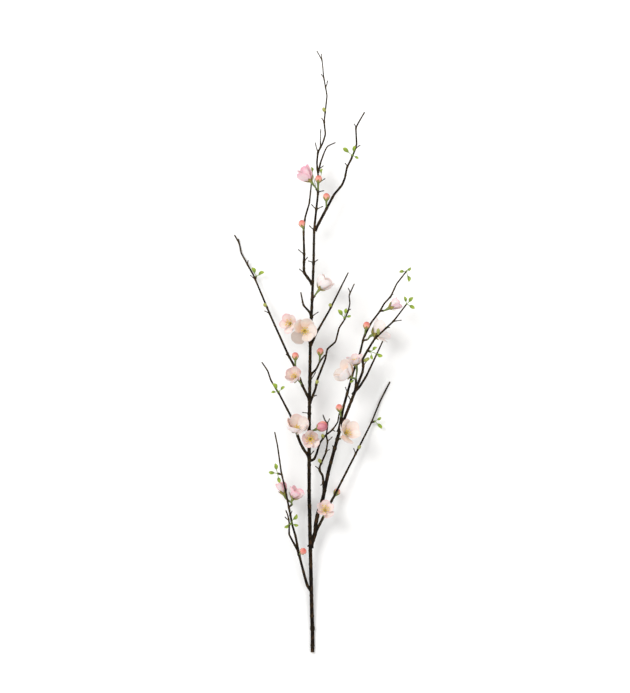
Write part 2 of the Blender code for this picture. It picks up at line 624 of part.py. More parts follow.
def crowned_stalk(start, leaving, flower, sepal_reach, girth=1.0, sunk=False):
    """One mesh: the flower stalk, the green cup that widens to its rim, and its five sepals.

    The rings run from the cup down to the foot, so that their corners stand under the sepals.
    A stalk that isn't sunk in a foot of its own ends squarely on its seat.
    """
    turn = turned_to(flower["facing"], flower["roll"])
    base = Vector(flower["base"])
    axis = turn.col[2]
    foot = base - axis * CUP_HEIGHT
    bow = (foot - start).length * STALK_BOW
    a, b = start + leaving * bow, foot - axis * bow
    stalk = [start * (1 - t) ** 3 + a * 3 * t * (1 - t) ** 2 + b * 3 * t * t * (1 - t) + foot * t ** 3
             for t in (1, 0.66, 0.33)]
    route = [base - axis * CUP_WAIST, *stalk, start]
    radii = [CUP_RADII[0] * girth, CUP_RADII[1] * girth, *STALK_RADII]
    if not sunk:
        length, radius = STALK_END
        route[-1:] = [start + leaving * length, start]
        radii[-1:] = [radius, radius]
    sector = 2 * math.pi / SEPAL_COUNT
    half_turn = Matrix.Rotation(sector / 2, 3, "Z")
    points = rings(route, radii, SEPAL_COUNT, turn @ half_turn @ Vector((0, 1, 0)))
    faces = ring_faces(len(route), SEPAL_COUNT)
    faces.append(tuple(range(len(points) - SEPAL_COUNT, len(points))))
    # The rings turn the other way round than the azimuths do, because their route runs downwards.
    angle = math.radians(min(SEPAL_FLATTEST, flower["opening"][0] + SEPAL_SPREAD))
    crown = len(points)
    for k in range(SEPAL_COUNT):
        for azimuth, reach, height in (
                (sector * (0.5 - k), (CUP_RADIUS - 0.6) * girth + sepal_reach * math.sin(angle),
                 -1.5 + sepal_reach * math.cos(angle)),
                (sector * -k, CUP_RADIUS * girth, -0.4)):
            out = Vector((-math.sin(azimuth), math.cos(azimuth), 0)) * reach
            points.append(base + turn @ (out + Vector((0, 0, height))))
    centre = len(points)
    points.append(base.copy())
    for k in range(SEPAL_COUNT):
        tip, valley = crown + 2 * k, crown + 2 * k + 1
        before = crown + (2 * k - 1) % (2 * SEPAL_COUNT)
        after = (k + 1) % SEPAL_COUNT
        faces += [(k, tip, before), (k, valley, tip), (k, after, valley),
                  (before, tip, valley), (before, valley, centre)]
    return solid(points, faces)


def leaf(foot, centre, length, tilt):
    """A leaf on a narrow stalk, with a waved edge, folded a little along its midrib."""
    foot, centre = Vector(foot), Vector(centre)
    growth = (centre - foot).normalized()
    side = growth.cross(Vector((0, 0, 1))).normalized()
    side = Matrix.Rotation(math.radians(tilt), 3, growth) @ side
    upper = side.cross(growth)
    half_width = LEAF_WIDTH * length / LEAF_LENGTH / 2
    edge = side * LEAF_STALK_HALF_WIDTH
    rows = [[foot - edge, foot + upper * 0.15, foot + edge]]
    for share, half, wave in LEAF_OUTLINE:
        middle = centre + growth * (length * share) - upper * (length * LEAF_DROOP * share * share)
        rim = upper * (half_width * half * (LEAF_FOLD + wave))
        rows.append([middle - side * (half_width * half) + rim, middle,
                     middle + side * (half_width * half) + rim])
    return blade(rows, LEAF_THICKNESS)


def knob(start, leaving):
    """The small green foot that sits on the flat end of a woody spur."""
    length, radii = KNOB
    return tube([start, start + leaving * length], radii, 5)


def green_foot(on, seat):
    """Where the green parts start, a hair clear of the flat end of the woody spur."""
    seat, leaving = seat_of(on, seat)
    return seat + leaving * SEAT_GAP, leaving


def small_leaves(node, start, leaving):
    """The single leaves that grow beside a blossom or a bud."""
    foot = start + leaving * FOOT_REACH
    return [leaf(foot, *row) for row in SMALL_LEAVES.get(node, ())]


def calyx(names):
    """The green parts of one blossom, or of two on one spur: foot, stalks, cups and sepals."""
    first = BLOOMS[names[0]]
    start, leaving = green_foot(first["on"], first["seat"])
    shared = len(names) > 1
    pieces = [knob(start, leaving)] if shared else []
    for name in names:
        inner = start + leaving * FOOT_REACH if shared else start
        pieces.append(crowned_stalk(inner, leaving, BLOOMS[name], SEPAL_LENGTH, sunk=shared))
    node = "calyx_" + "_".join(names)
    return fuse(node, pieces + small_leaves(node, start, leaving), "calyx")


def big_bud():
    """The closed bud: five petals rolled round each other, with its cup and sepals."""
    bloom = BLOOMS[BIG_BUD]
    start, leaving = green_foot(bloom["on"], bloom["seat"])
    base = Vector(bloom["base"])
    axis = Vector(bloom["facing"]).normalized()
    length = bloom["petal"][0]
    route = [base + axis * length * s for s, _ in BIG_BUD_PROFILE]
    ball = tube(route, [length * r for _, r in BIG_BUD_PROFILE], 10, 0.1, 0.16)
    return fuse("bud_big", [ball, crowned_stalk(start, leaving, bloom, SEPAL_LENGTH)], "pink")


def round_bud(name, on, seat, centre):
    """A ball of folded petals held in its own wide cup and five short sepals."""
    start, leaving = green_foot(on, seat)
    centre = Vector(centre)
    axis = (centre - start).normalized()
    route = [centre + axis * BUD_RADIUS * s for s, _ in ROUND_BUD_PROFILE]
    ball = tube(route, [BUD_RADIUS * r for _, r in ROUND_BUD_PROFILE], 8, 0.12, 0.25)
    flower = {"base": centre - axis * BUD_RADIUS * 0.5, "facing": axis, "roll": 0,
              "opening": ROUND_BUD_SEPALS}
    pieces = [ball, crowned_stalk(start, leaving, flower, BUD_RADIUS, BUD_CUP_GIRTH)]
    pieces += small_leaves("bud_" + name, start, leaving)
    return fuse("bud_" + name, pieces, "pink")


def tuft(name, on, seat, leaves):
    """Two or three young leaves on one small foot."""
    start, leaving = green_foot(on, seat)
    pieces = [knob(start, leaving)]
    foot = start + leaving * FOOT_REACH
    pieces += [leaf(foot, centre, length, tilt) for centre, length, tilt in leaves]
    return fuse("leaves_" + name, pieces, "leaf")


def main():
    for old in list(bpy.data.objects):
        bpy.data.objects.remove(old)
    nodes = [wood(), big_bud()]
    for name, bloom in BLOOMS.items():
        if name != BIG_BUD:
            nodes.append(petals(name, bloom))
        if bloom["stamens"]:
            nodes.append(stamens(name, bloom))
    nodes += [calyx(names) for names in CALYX_GROUPS]
    nodes += [round_bud(name, *row) for name, row in ROUND_BUDS.items()]
    nodes += [tuft(name, *row) for name, row in TUFTS.items()]

    # The whole branch hangs on one empty, which brings the middle of its footprint to the origin.
    holder = bpy.data.objects.new("lying_branch", None)
    bpy.context.scene.collection.objects.link(holder)
    for node in nodes:
        node.parent = holder
    bpy.context.view_layer.update()
    corners = [node.matrix_world @ v.co for node in nodes for v in node.data.vertices]
    low = Vector(min(c[i] for c in corners) for i in range(3))
    high = Vector(max(c[i] for c in corners) for i in range(3))
    holder.location = (-(low.x + high.x) / 2, -(low.y + high.y) / 2, -low.z)


main()
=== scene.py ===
import random
from math import atan2, cos, exp, pi, radians, sin, tanh

import bpy
from mathutils import Matrix, Vector, noise
from mathutils.kdtree import KDTree


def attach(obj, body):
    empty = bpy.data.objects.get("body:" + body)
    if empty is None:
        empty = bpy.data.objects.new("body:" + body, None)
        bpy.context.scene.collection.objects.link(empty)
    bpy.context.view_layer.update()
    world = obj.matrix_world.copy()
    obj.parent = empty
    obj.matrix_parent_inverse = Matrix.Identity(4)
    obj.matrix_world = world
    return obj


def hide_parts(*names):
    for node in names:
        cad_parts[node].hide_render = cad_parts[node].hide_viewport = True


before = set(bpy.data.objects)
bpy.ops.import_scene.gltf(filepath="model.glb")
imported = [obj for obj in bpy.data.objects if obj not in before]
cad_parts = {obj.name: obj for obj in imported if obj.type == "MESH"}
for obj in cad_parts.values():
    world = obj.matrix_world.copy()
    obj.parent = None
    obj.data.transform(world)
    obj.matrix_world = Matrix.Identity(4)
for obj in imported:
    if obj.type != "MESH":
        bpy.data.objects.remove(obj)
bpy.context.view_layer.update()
print("frame loaded")

# The tables are millimetres from the heel of the stem; this brings them to the frame's own origin.
holderShift = Vector((-20.81, -522.68, 0))

# Each shoot: its route from its root in the wood to its tip, its radius at both ends, and its sides.
shootRoutes = {
    "leader": ([(0, -20, 2.6), (0, 18, 2.7), (-1, 46, 5), (-4, 171, 21), (-5, 224, 27), (-6, 266, 30),
        (-6, 386, 36), (-4, 536, 41), (2, 686, 43), (3, 744, 44), (10, 811, 46), (10, 843, 47),
        (8, 863, 48), (10, 883, 49), (18, 899, 50), (23, 915, 51), (21, 937, 51), (26, 985, 50),
        (20, 1019, 51), (17, 1048, 52), (8, 1065, 52)], (3.4, 0.8), 14),
    "right_limb": ([(-4, 171, 21), (1, 186, 23), (5, 198, 25), (6, 214, 28), (10, 234, 31), (18, 257, 35),
        (29, 310, 42), (49, 383, 52), (90, 489, 66), (91, 498, 67), (90, 510, 68), (112, 548, 72),
        (145, 579, 78), (168, 609, 81)], (3.0, 0.9), 12),
    "inner_right": ([(47, 380, 51), (51, 402, 53), (56, 426, 52), (70, 476, 45), (77, 499, 44),
        (86, 524, 45), (92, 549, 49), (106, 577, 55), (121, 597, 60), (129, 611, 63), (140, 623, 65),
        (151, 646, 71), (168, 668, 77)], (1.9, 0.9), 10),
    "cluster_shoot": ([(73, 447, 60), (76, 453, 62), (78, 465, 64), (78, 475, 67)], (1.8, 1.5), 10),
    "outer_right": ([(73, 447, 60), (77, 453, 59), (85, 462, 57), (97, 481, 52),
        (128, 546, 29)], (1.6, 0.8), 10),
    "low_right": ([(5, 198, 25), (9, 205, 25), (26, 239, 28), (39, 264, 28), (77, 338, 18), (106, 395, 8),
        (123, 436, 2.6), (140, 469, 0.5)], (1.7, 0.95), 10),
    "low_left": ([(-2, 92, 10), (-8, 99, 12), (-12, 110, 14), (-24, 157, 23), (-31, 193, 29),
        (-36, 210, 31), (-49, 277, 42), (-56, 306, 43), (-63, 355, 43), (-68, 379, 43)], (1.9, 0.85), 10),
    "low_left_fork": ([(-24, 157, 23), (-27, 166, 25), (-42, 195, 33), (-42, 216, 36), (-45, 231, 36),
        (-48, 238, 36)], (1.5, 0.8), 10),
    "mid_left": ([(-6, 335, 34), (-9, 339, 36), (-15, 347, 38), (-22, 360, 41), (-40, 410, 46),
        (-61, 450, 43), (-75, 473, 40), (-81, 490, 39), (-91, 505, 38)], (1.9, 0.85), 10),
    "long_left": ([(-5, 436, 38), (-7, 441, 40), (-11, 449, 41), (-18, 463, 41), (-28, 490, 39),
        (-43, 517, 36), (-77, 592, 25), (-107, 663, 12), (-129, 703, 4), (-133, 721, 1.6),
        (-141, 735, 0.5)], (1.7, 0.95), 10),
    "crossing": ([(-5, 328, 34), (2, 330, 35), (7, 340, 36), (14, 361, 38), (24, 374, 40), (35, 383, 42),
        (45, 397, 46), (48, 413, 50)], (1.5, 0.85), 10),
    "rising": ([(21, 271, 37), (20, 281, 34), (18, 301, 30), (13, 310, 29), (13, 316, 29), (24, 342, 29),
        (27, 362, 29), (25, 373, 30), (27, 395, 32), (23, 400, 32), (19, 410, 33)], (1.6, 0.75), 10),
    "bud_twig": ([(-5, 476, 39), (-1, 485, 37), (6, 492, 36), (13, 506, 34),
        (22, 518, 33)], (1.5, 0.85), 10),
    "mid_right": ([(-5, 432, 38), (-1, 441, 40), (6, 460, 45), (8, 472, 47), (23, 511, 51), (27, 529, 52),
        (41, 542, 52), (48, 567, 52), (58, 583, 53), (65, 601, 54), (67, 611, 54), (66, 625, 55),
        (75, 646, 56)], (1.6, 0.75), 10),
    "straight_right": ([(-4, 535, 41), (-1, 540, 42), (6, 556, 45), (30, 598, 51),
        (64, 666, 58)], (1.6, 0.85), 10),
    "small_left": ([(-2, 588, 42), (-5, 595, 40), (-16, 608, 36), (-21, 631, 33)], (1.4, 0.8), 10),
    "upper_left": ([(0, 645, 42), (-3, 650, 42), (-15, 667, 40), (-15, 701, 37), (-16, 742, 38),
        (-13, 767, 41), (-6, 791, 42), (-2, 827, 42)], (1.8, 0.95), 10),
    "upper_right": ([(4, 742, 44), (9, 751, 45), (39, 807, 56), (53, 824, 60), (58, 836, 62),
        (62, 855, 65), (70, 871, 67), (79, 896, 71), (78, 926, 74), (93, 953, 77)], (1.9, 0.85), 10),
    "top_right": ([(10, 847, 47), (12, 853, 44), (14, 863, 42), (22, 885, 40), (27, 894, 39),
        (41, 901, 38)], (1.1, 0.65), 10),
}

# Thorn-like stubs and bud scars: where each stands on its shoot, its tip, and how far the tip rises.
stubs = {
    "leader": [(0, 22, 4, 25, 2), (-3, 334, 3, 346, 3), (-5, 413, -19, 415, 3), (-5, 440, 8, 446, 3),
        (-4, 470, 6, 488, 5), (-1, 587, 11, 596, 4), (1, 683, 10, 690, 4), (1, 685, -8, 688, -2),
        (3, 744, -6, 752, 1), (9, 780, 19, 786, 4), (7, 781, -2, 790, 5), (10, 811, 21, 814, 2),
        (10, 827, 23, 836, 3), (8, 852, 20, 859, 4), (10, 883, 5, 901, -2), (14, 892, 15, 925, 6),
        (21, 937, 16, 945, 2), (25, 1000, 27, 1012, 2), (21, 1017, 15, 1024, 2), (17, 1048, 16, 1060, 2)],
    "upper_right": [(62, 856, 58, 863, 2), (77, 885, 86, 895, 3), (78, 926, 74, 933, 2)],
    "upper_left": [(-15, 700, -26, 709, -1), (-15, 686, -8, 695, 3), (-15, 667, -24, 674, 1)],
    "small_left": [(-16, 608, -19, 614, 2)],
    "long_left": [(-133, 721, -134, 729, 3), (-117, 682, -116, 690, 2), (-105, 654, -113, 663, 0),
        (-79, 593, -87, 598, 1), (-43, 514, -48, 520, 2)],
    "low_left": [(-39, 229, -37, 238, 2)],
    "low_left_fork": [(-44, 221, -50, 227, 0)],
    "right_limb": [(39, 350, 36, 356, 2), (69, 437, 64, 446, 2), (92, 499, 97, 508, 2),
        (112, 548, 115, 558, 4), (133, 566, 139, 568, 2), (145, 579, 160, 581, 2)],
    "inner_right": [(62, 451, 59, 461, 3), (140, 623, 145, 628, 1)],
    "low_right": [(77, 340, 74, 350, 1)],
    "crossing": [(36, 384, 41, 381, 3)],
    "rising": [(19, 288, 14, 283, 1), (13, 311, 5, 318, 2), (24, 345, 31, 348, 1), (27, 363, 36, 371, -2),
        (27, 396, 31, 404, 1)],
    "mid_right": [(64, 597, 69, 601, 1), (67, 629, 64, 639, 1)],
}

# Small green leaf buds that sit tight on the wood: shoot, foot, tip and rise.
leafBuds = [
    ("leader", 22, 955, 19, 963, 3), ("long_left", -83, 605, -88, 611, 3),
    ("straight_right", 34, 604, 31, 611, 3), ("mid_right", 7, 466, 9, 473, 4),
    ("low_right", 82, 348, 86, 355, 5), ("rising", 15, 323, 11, 331, 3),
    ("crossing", 19, 368, 18, 376, 2), ("right_limb", 97, 507, 102, 513, 3),
    ("right_limb", 114, 557, 118, 566, 5),
]

# Blossoms. "on": the shoot and the place that the spur leaves from; "seat": the spur's end;
# "base": the top of the cup; "petal": length and width; "opening": degrees from the axis at a
# petal's root and at its tip. Petal 0 points up the branch, before "roll". "lean": petals that
# stand apart, by number, and how many degrees further out.
bloomFields = ("on", "seat", "base", "facing", "petal", "opening", "roll", "stamens", "lean")
bloomRows = {
    "01": (("leader", (10, 811)), (7, 817, 51), (-3, 831, 57), (-0.55, 0.82, 0.15), (29, 28), (38, 0), 30,
           0, {4: 14}),
    "02": (("leader", (-1, 618)), (4, 625, 46), (13, 637, 50), (0.62, 0.77, 0.15), (27, 31), (58, 2), 50,
           6, {}),
    "03": (("leader", (-4, 540)), (-10, 547, 45), (-39, 575, 43), (-0.5, 0.12, 0.86), (19, 22), (70, 38),
           30, 7, {2: 12}),
    "04": (None, None, (-14, 561, 57), (0.02, 0.1, 1.0), (30, 33), (78, 10), -12, 9, {2: 34}),
    "05": (("long_left", (-18, 463)), (-20, 466, 44), (-29, 477, 52), (-0.45, 0.45, 0.77), (22, 29),
           (74, 0), 0, 7, {}),
    "06": (("mid_left", (-26, 372)), (-27, 375, 46), (-28, 382, 53), (0.05, 0.72, 0.69), (31, 35),
           (76, -4), 12, 6, {}),
    "07": (("leader", (-6, 365)), (-6, 366, 41), (-4, 367, 51), (0.03, 0.02, 1.0), (18, 24), (78, 25), 20,
           10, {3: 20}),
    "08": (("leader", (-6, 380)), (-1, 382, 41), (9, 386, 46), (0.85, 0.42, 0.2), (19, 0), (0, 0), 0, 0,
           {}),
    "09": (("cluster_shoot", None), None, (67, 481, 73), (-0.68, 0.6, 0.42), (31, 37), (66, 6), 24, 6,
           {1: 30}),
    "10": (None, None, (78, 501, 56), (-0.24, 0.92, 0.3), (20, 24), (60, 24), 25, 6, {}),
    "11": (("right_limb", (46, 366)), (50, 368, 53), (59, 377, 60), (0.5, 0.42, 0.76), (28, 32), (74, 14),
           20, 7, {2: 24}),
    "12": (("inner_right", (121, 597)), (127, 598, 60), (138, 603, 61), (0.86, 0.5, 0.05), (22, 20),
           (30, 14), 0, 0, {}),
    "13": (("inner_right", (91, 544)), (98, 546, 49), (109, 555, 50), (0.84, 0.43, -0.3), (31, 32),
           (60, 36), 54, 6, {}),
    "14": (("low_left", (-43, 244)), (-38, 248, 36), (-51, 267, 29), (-0.34, 0.93, -0.08), (22, 20),
           (28, 6), 0, 0, {}),
    "15": (None, None, (-35, 260, 44), (0.48, 0.83, 0.25), (22, 24), (50, 18), 10, 6, {}),
    "16": (("low_right", (18, 222)), (20, 226, 31), (22, 238, 42), (0.1, 0.42, 0.9), (19, 24), (74, 24),
           0, 7, {3: 18}),
}
blooms = {name: dict(zip(bloomFields, row)) for name, row in bloomRows.items()}
# Blossoms that stand on one spur share their green parts.
greenGroups = [("01",), ("02",), ("03", "04"), ("05",), ("06",), ("07",), ("09", "10"), ("11",), ("12",),
               ("13",), ("14", "15"), ("16",)]
bigBud = "08"
# Small single leaves that grow from a blossom's or a bud's green foot: centre, length and tilt.
smallLeaves = {"calyx_01": [((-1, 852, 50), 9, 40)], "calyx_09_10": [((71, 471, 70), 8, 20)],
               "bud_1": [((16, 849, 55), 9, -30)]}

# Round buds: shoot and place, seat, and centre of the ball.
roundBuds = {
    "1": (("leader", (10, 811)), (10, 815, 51), (11, 835, 60)),
    "2": (("upper_right", (25, 782)), (25, 785, 54), (25, 803, 59)),
    "3": (("upper_left", (-16, 740)), (-16, 743, 41), (-19, 755, 48)),
    "4": (("long_left", (-31, 496)), (-31, 499, 42), (-31, 517, 47)),
    "5": (("bud_twig", (13, 506)), (13, 509, 37), (14, 525, 41)),
    "6": (("inner_right", (93, 552)), (94, 556, 53), (97, 572, 61)),
    "7": (("inner_right", (52, 405)), (51, 408, 56), (48, 424, 62)),
    "8": (("low_right", (35, 256)), (36, 257, 24), (44, 271, 17)),
    "9": (("low_left", (-24, 157)), (-23, 159, 28), (-17, 165, 41)),
}

# Tufts of young leaves: shoot and place (None where they end the shoot), seat, and each leaf's
# centre, length and sideways tilt in degrees.
leafTufts = {
    "1": (("upper_right", (70, 871)), (71, 876, 70), [((60, 885, 73), 13, 20), ((75, 888, 75), 11, -30),
          ((79, 873, 72), 8, 10)]),
    "2": (("long_left", (-104, 654)), (-102, 660, 16), [((-106, 671, 19), 12, 20),
          ((-93, 666, 19), 12, -25)]),
    "3": (("mid_right", (58, 583)), (57, 585, 57), [((50, 594, 61), 13, 25), ((60, 597, 61), 10, -20),
          ((65, 588, 60), 8, 15)]),
    "4": (("inner_right", None), None, [((173, 672, 80), 9, 20), ((172, 656, 80), 12, -30),
          ((160, 668, 83), 10, 10)]),
    "5": (("right_limb", None), None, [((166, 618, 84), 10, 20), ((176, 617, 85), 12, -30),
          ((178, 605, 84), 11, 5)]),
    "6": (("right_limb", (98, 526)), (103, 525, 71), [((106, 515, 74), 9, 20), ((111, 530, 75), 10, -25),
          ((120, 518, 74), 11, 10)]),
    "7": (("low_right", (106, 396)), (112, 398, 10), [((120, 403, 13), 9, 15),
          ((121, 390, 12), 12, -25)]),
    "8": (("mid_left", (-61, 450)), (-61, 452, 46), [((-67, 462, 49), 13, 25), ((-54, 459, 49), 9, -15),
          ((-70, 452, 49), 8, 5)]),
    "9": (("low_left", (-56, 303)), (-62, 305, 44), [((-66, 317, 47), 12, 20), ((-73, 307, 47), 11, -15),
          ((-60, 294, 48), 11, 10)]),
    "10": (("low_left_fork", (-41, 212)), (-40, 214, 40), [((-31, 226, 43), 12, 25),
          ((-46, 210, 43), 10, -20), ((-30, 212, 43), 9, 10)]),
}

# Tone of each blossom: how pink its rims are, how peach its inside is, and how cool the pink is.
tints = {
    "01": (0.95, 0.1, 0.9), "02": (0.3, 0.15, 0.3), "03": (0.7, 0.35, 0.5), "04": (0.12, 0.95, 0.0),
    "05": (0.65, 0.4, 0.25), "06": (0.5, 0.4, 0.0), "07": (0.7, 0.35, 0.5), "08": (1.0, 0.1, 0.75),
    "09": (0.12, 0.85, 0.0), "10": (0.6, 0.2, 0.9), "11": (0.22, 0.65, 0.1), "12": (0.75, 0.1, 0.8),
    "13": (0.15, 0.15, 0.4), "14": (1.0, 0.15, 0.7), "15": (0.85, 0.3, 0.7), "16": (0.6, 0.5, 0.7),
}
# Single petals that stand out: their pink, their peach and how much grey painted shade they get where
# they lie in shadow
petalTones = {
    ("04", 0): (0.1, 0.6, 0.0), ("04", 1): (0.15, 1.0, 0.0), ("04", 2): (0.1, 0.0, 0.9),
    ("04", 3): (0.1, 0.35, 0.0), ("04", 4): (0.05, 0.1, 0.0),
    ("06", 1): (0.5, 0.95, 0.0), ("06", 2): (0.3, 0.2, 0.0), ("06", 3): (0.25, 0.15, 0.0),
    ("06", 4): (0.15, 0.05, 0.0), ("07", 4): (0.9, 0.6, 0.6), ("09", 1): (0.1, 0.2, 0.25),
    ("01", 4): (1.0, 0.0, 0.15),
}


def toRow(point):
    return (Vector(point) + holderShift) * 0.001


def pick(*pieces):
    bpy.ops.object.select_all(action="DESELECT")
    for piece in pieces:
        piece.select_set(True)
    bpy.context.view_layer.objects.active = pieces[0]


def joined(name, pieces):
    pick(*pieces)
    if len(pieces) > 1:
        bpy.ops.object.join()
    piece = bpy.context.view_layer.objects.active
    piece.name = piece.data.name = name
    return piece


def applyModifiers(piece):
    pick(piece)
    for modifier in list(piece.modifiers):
        bpy.ops.object.modifier_apply(modifier=modifier.name)


def setAttribute(piece, name, values):
    # One number for the whole piece, or one for each vertex
    count = len(piece.data.vertices)
    layer = piece.data.attributes.get(name) or piece.data.attributes.new(name, "FLOAT", "POINT")
    layer.data.foreach_set("value", [values] * count if isinstance(values, (int, float)) else values)


def finishPiece(piece, material, replaced=()):
    piece.data.materials.clear()
    piece.data.materials.append(material)
    pick(piece)
    bpy.ops.object.shade_smooth()
    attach(piece, "root")
    if replaced:
        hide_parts(*replaced)
    return piece


def between(table, place):
    # Reads a table of (place, value) rows with straight lines between them
    for (a, low), (b, high) in zip(table, table[1:]):
        if place <= b:
            return low + (high - low) * (place - a) / (b - a)
    return table[-1][1]


def sheets(name, shapes, grid, thickness):
    # A grid for each shape, bent by it, given a thickness and smoothed; "inside" is 1 on the far side
    flat = []
    for shape, values in shapes:
        bpy.ops.mesh.primitive_grid_add(x_subdivisions=grid[0], y_subdivisions=grid[1], size=2)
        sheet = bpy.context.object
        for vertex in sheet.data.vertices:
            vertex.co = toRow(shape(vertex.co.x, (vertex.co.y + 1) / 2))
        for key, value in values.items():
            setAttribute(sheet, key, value)
        flat.append(sheet)
    piece = joined(name, flat)
    count = len(piece.data.vertices)
    wall = piece.modifiers.new("Wall", "SOLIDIFY")
    wall.thickness = thickness * 0.001
    wall.offset = 0
    applyModifiers(piece)
    setAttribute(piece, "inside", [float(i >= count) for i in range(len(piece.data.vertices))])
    smooth = piece.modifiers.new("Smooth", "SUBSURF")
    smooth.levels = smooth.render_levels = 1
    applyModifiers(piece)
    setAttribute(piece, "blade", 1.0)
    return piece


def bevelled(name, strands, sides):
    # Curves with a round bevel, one strand each, made a mesh with welded caps
    shape = bpy.data.curves.new(name, "CURVE")
    shape.dimensions = "3D"
    shape.bevel_depth = 0.001
    shape.bevel_resolution = (sides - 4) // 2
    shape.use_fill_caps = True
    for points, radii in strands:
        strand = shape.splines.new("POLY")
        strand.points.add(len(points) - 1)
        for spot, place, radius in zip(strand.points, points, radii):
            spot.co = (*toRow(place), 1)
            spot.radius = radius
    piece = bpy.data.objects.new(name, shape)
    bpy.context.scene.collection.objects.link(piece)
    pick(piece)
    bpy.ops.object.convert(target="MESH")
    piece = bpy.context.object
    bpy.ops.object.mode_set(mode="EDIT")
    bpy.ops.mesh.select_all(action="SELECT")
    bpy.ops.mesh.remove_doubles(threshold=1e-6)
    bpy.ops.object.mode_set(mode="OBJECT")
    for layer in list(piece.data.uv_layers):
        piece.data.uv_layers.remove(layer)
    return piece


def ball(name, centre, turn, size):
    bpy.ops.mesh.primitive_uv_sphere_add(segments=16, ring_count=10, radius=1)
    piece = bpy.context.object
    for vertex in piece.data.vertices:
        local = Vector([place * half for place, half in zip(vertex.co, size)])
        vertex.co = toRow(Vector(centre) + turn @ local)
    piece.name = name
    return piece


def turnedTo(facing, roll=0.0):
    # Z to the facing, Y as far up the branch as it goes, then rolled
    axis = Vector(facing).normalized()
    up = Vector((0, 1, 0)) if abs(axis.y) < 0.8 else Vector((0, 0, 1))
    side = up.cross(axis).normalized()
    turn = Matrix((side, axis.cross(side), axis)).transposed()
    return turn @ Matrix.Rotation(radians(roll), 3, "Z")


def poseOf(flower):
    return Vector(flower["base"]), turnedTo(flower["facing"], flower["roll"])


def around(azimuth, reach, height):
    # A place round a flower's own axis
    return Matrix.Rotation(azimuth, 3, "Z") @ Vector((0, reach, height))


def arcPath(start, length, root, tip, steps):
    # Reach and height along a blade that bends evenly from its root angle to its tip angle
    path = [start]
    for i in range(steps):
        angle = root + (tip - root) * (i + 0.5) / steps
        path.append((path[-1][0] + length / steps * sin(angle),
                     path[-1][1] + length / steps * cos(angle)))
    return path


def onShoot(name, x, y):
    # The point of a shoot's middle line nearest to a place seen from above
    route = [Vector(p) for p in shootRoutes[name][0]]
    place = Vector((x, y))
    found = []
    for start, end in zip(route, route[1:]):
        run = (end - start).xy
        share = min(1.0, max(0.0, (place - start.xy).dot(run) / run.length_squared))
        found.append(start.lerp(end, share))
    return min(found, key=lambda point: (point.xy - place).length)


def footAndTip(shoot, x, y, tipX, tipY, rise):
    start = onShoot(shoot, x, y)
    return start, Vector((tipX, tipY, start.z + rise))


def seatOf(on, seat):
    # Where green parts sit on the wood, and the way they leave it
    shoot, place = on
    if place is None:
        before, end = (Vector(p) for p in shootRoutes[shoot][0][-2:])
        return end, (end - before).normalized()
    return Vector(seat), (Vector(seat) - onShoot(shoot, *place)).normalized()


bench = {}  # "tree" is the node tree that is being built


def addNode(kind, **settings):
    made = bench["tree"].nodes.new("ShaderNode" + kind)
    for key, value in settings.items():
        setattr(made, key, value)
    return made


def feed(socket, value):
    # A socket is linked, anything else is set as the socket's own value
    if isinstance(value, bpy.types.NodeSocket):
        bench["tree"].links.new(value, socket)
    elif isinstance(value, tuple) and len(value) == 3 and socket.type == "RGBA":
        socket.default_value = (*value, 1)
    else:
        socket.default_value = value


def fed(made, inputs, values, output=0):
    for key, value in zip(inputs, values):
        feed(made.inputs[key], value)
    return made.outputs[output]


def mixed(factor, first, second, blend="MIX"):
    made = addNode("Mix", data_type="RGBA", blend_type=blend)
    return fed(made, (0, 6, 7), (factor, first, second), 2)


def sums(operation, *values):
    return fed(addNode("Math", operation=operation), range(3), values)


def times(first, second):
    return sums("MULTIPLY", first, second)


def ramp(value, low, high, out=(0, 1)):
    return fed(addNode("MapRange", interpolation_type="SMOOTHSTEP"), range(5), (value, low, high, *out))


def cloud(where, scale, detail):
    return fed(addNode("TexNoise"), ("Vector", "Scale", "Detail"), (where, scale, detail))


def objectPlace():
    return addNode("TexCoord").outputs["Object"]


def attribute(name):
    return addNode("Attribute", attribute_name=name).outputs["Fac"]


def acrossAndAlong():
    parts = addNode("SeparateXYZ")
    feed(parts.inputs[0], addNode("UVMap", uv_map="UVMap").outputs[0])
    return sums("MULTIPLY_ADD", parts.outputs[0], 2.0, -1.0), parts.outputs[1]


def newGroup(name, inputs, outputs):
    group = bench["tree"] = bpy.data.node_groups.new(name, "ShaderNodeTree")
    for label, kind, value in inputs:
        socket = group.interface.new_socket(label, in_out="INPUT", socket_type="NodeSocket" + kind)
        socket.default_value = value
    for label, kind in outputs:
        group.interface.new_socket(label, in_out="OUTPUT", socket_type="NodeSocket" + kind)
    start, end = group.nodes.new("NodeGroupInput"), group.nodes.new("NodeGroupOutput")
    return group, start.outputs, end.inputs


def placeGroup(group, **values):
    made = addNode("Group", node_tree=group)
    fed(made, values.keys(), values.values())
    return made.outputs


def makeMottle():
    # Soft cloudy variation of a colour, and a height for fine bumps
    group, given, made = newGroup(
        "mottle", [("Colour", "Color", (1, 1, 1, 1)), ("Scale", "Float", 100.0),
                   ("Amount", "Float", 0.2)], [("Colour", "Color"), ("Height", "Float")])
    coarse = cloud(objectPlace(), given["Scale"], 5)
    dark = mixed(given["Amount"], given["Colour"], (0.0, 0.0, 0.0))
    feed(made["Colour"], mixed(ramp(coarse, 0.3, 0.72, (1.0, 0.0)), given["Colour"], dark))
    feed(made["Height"], coarse)
    return group


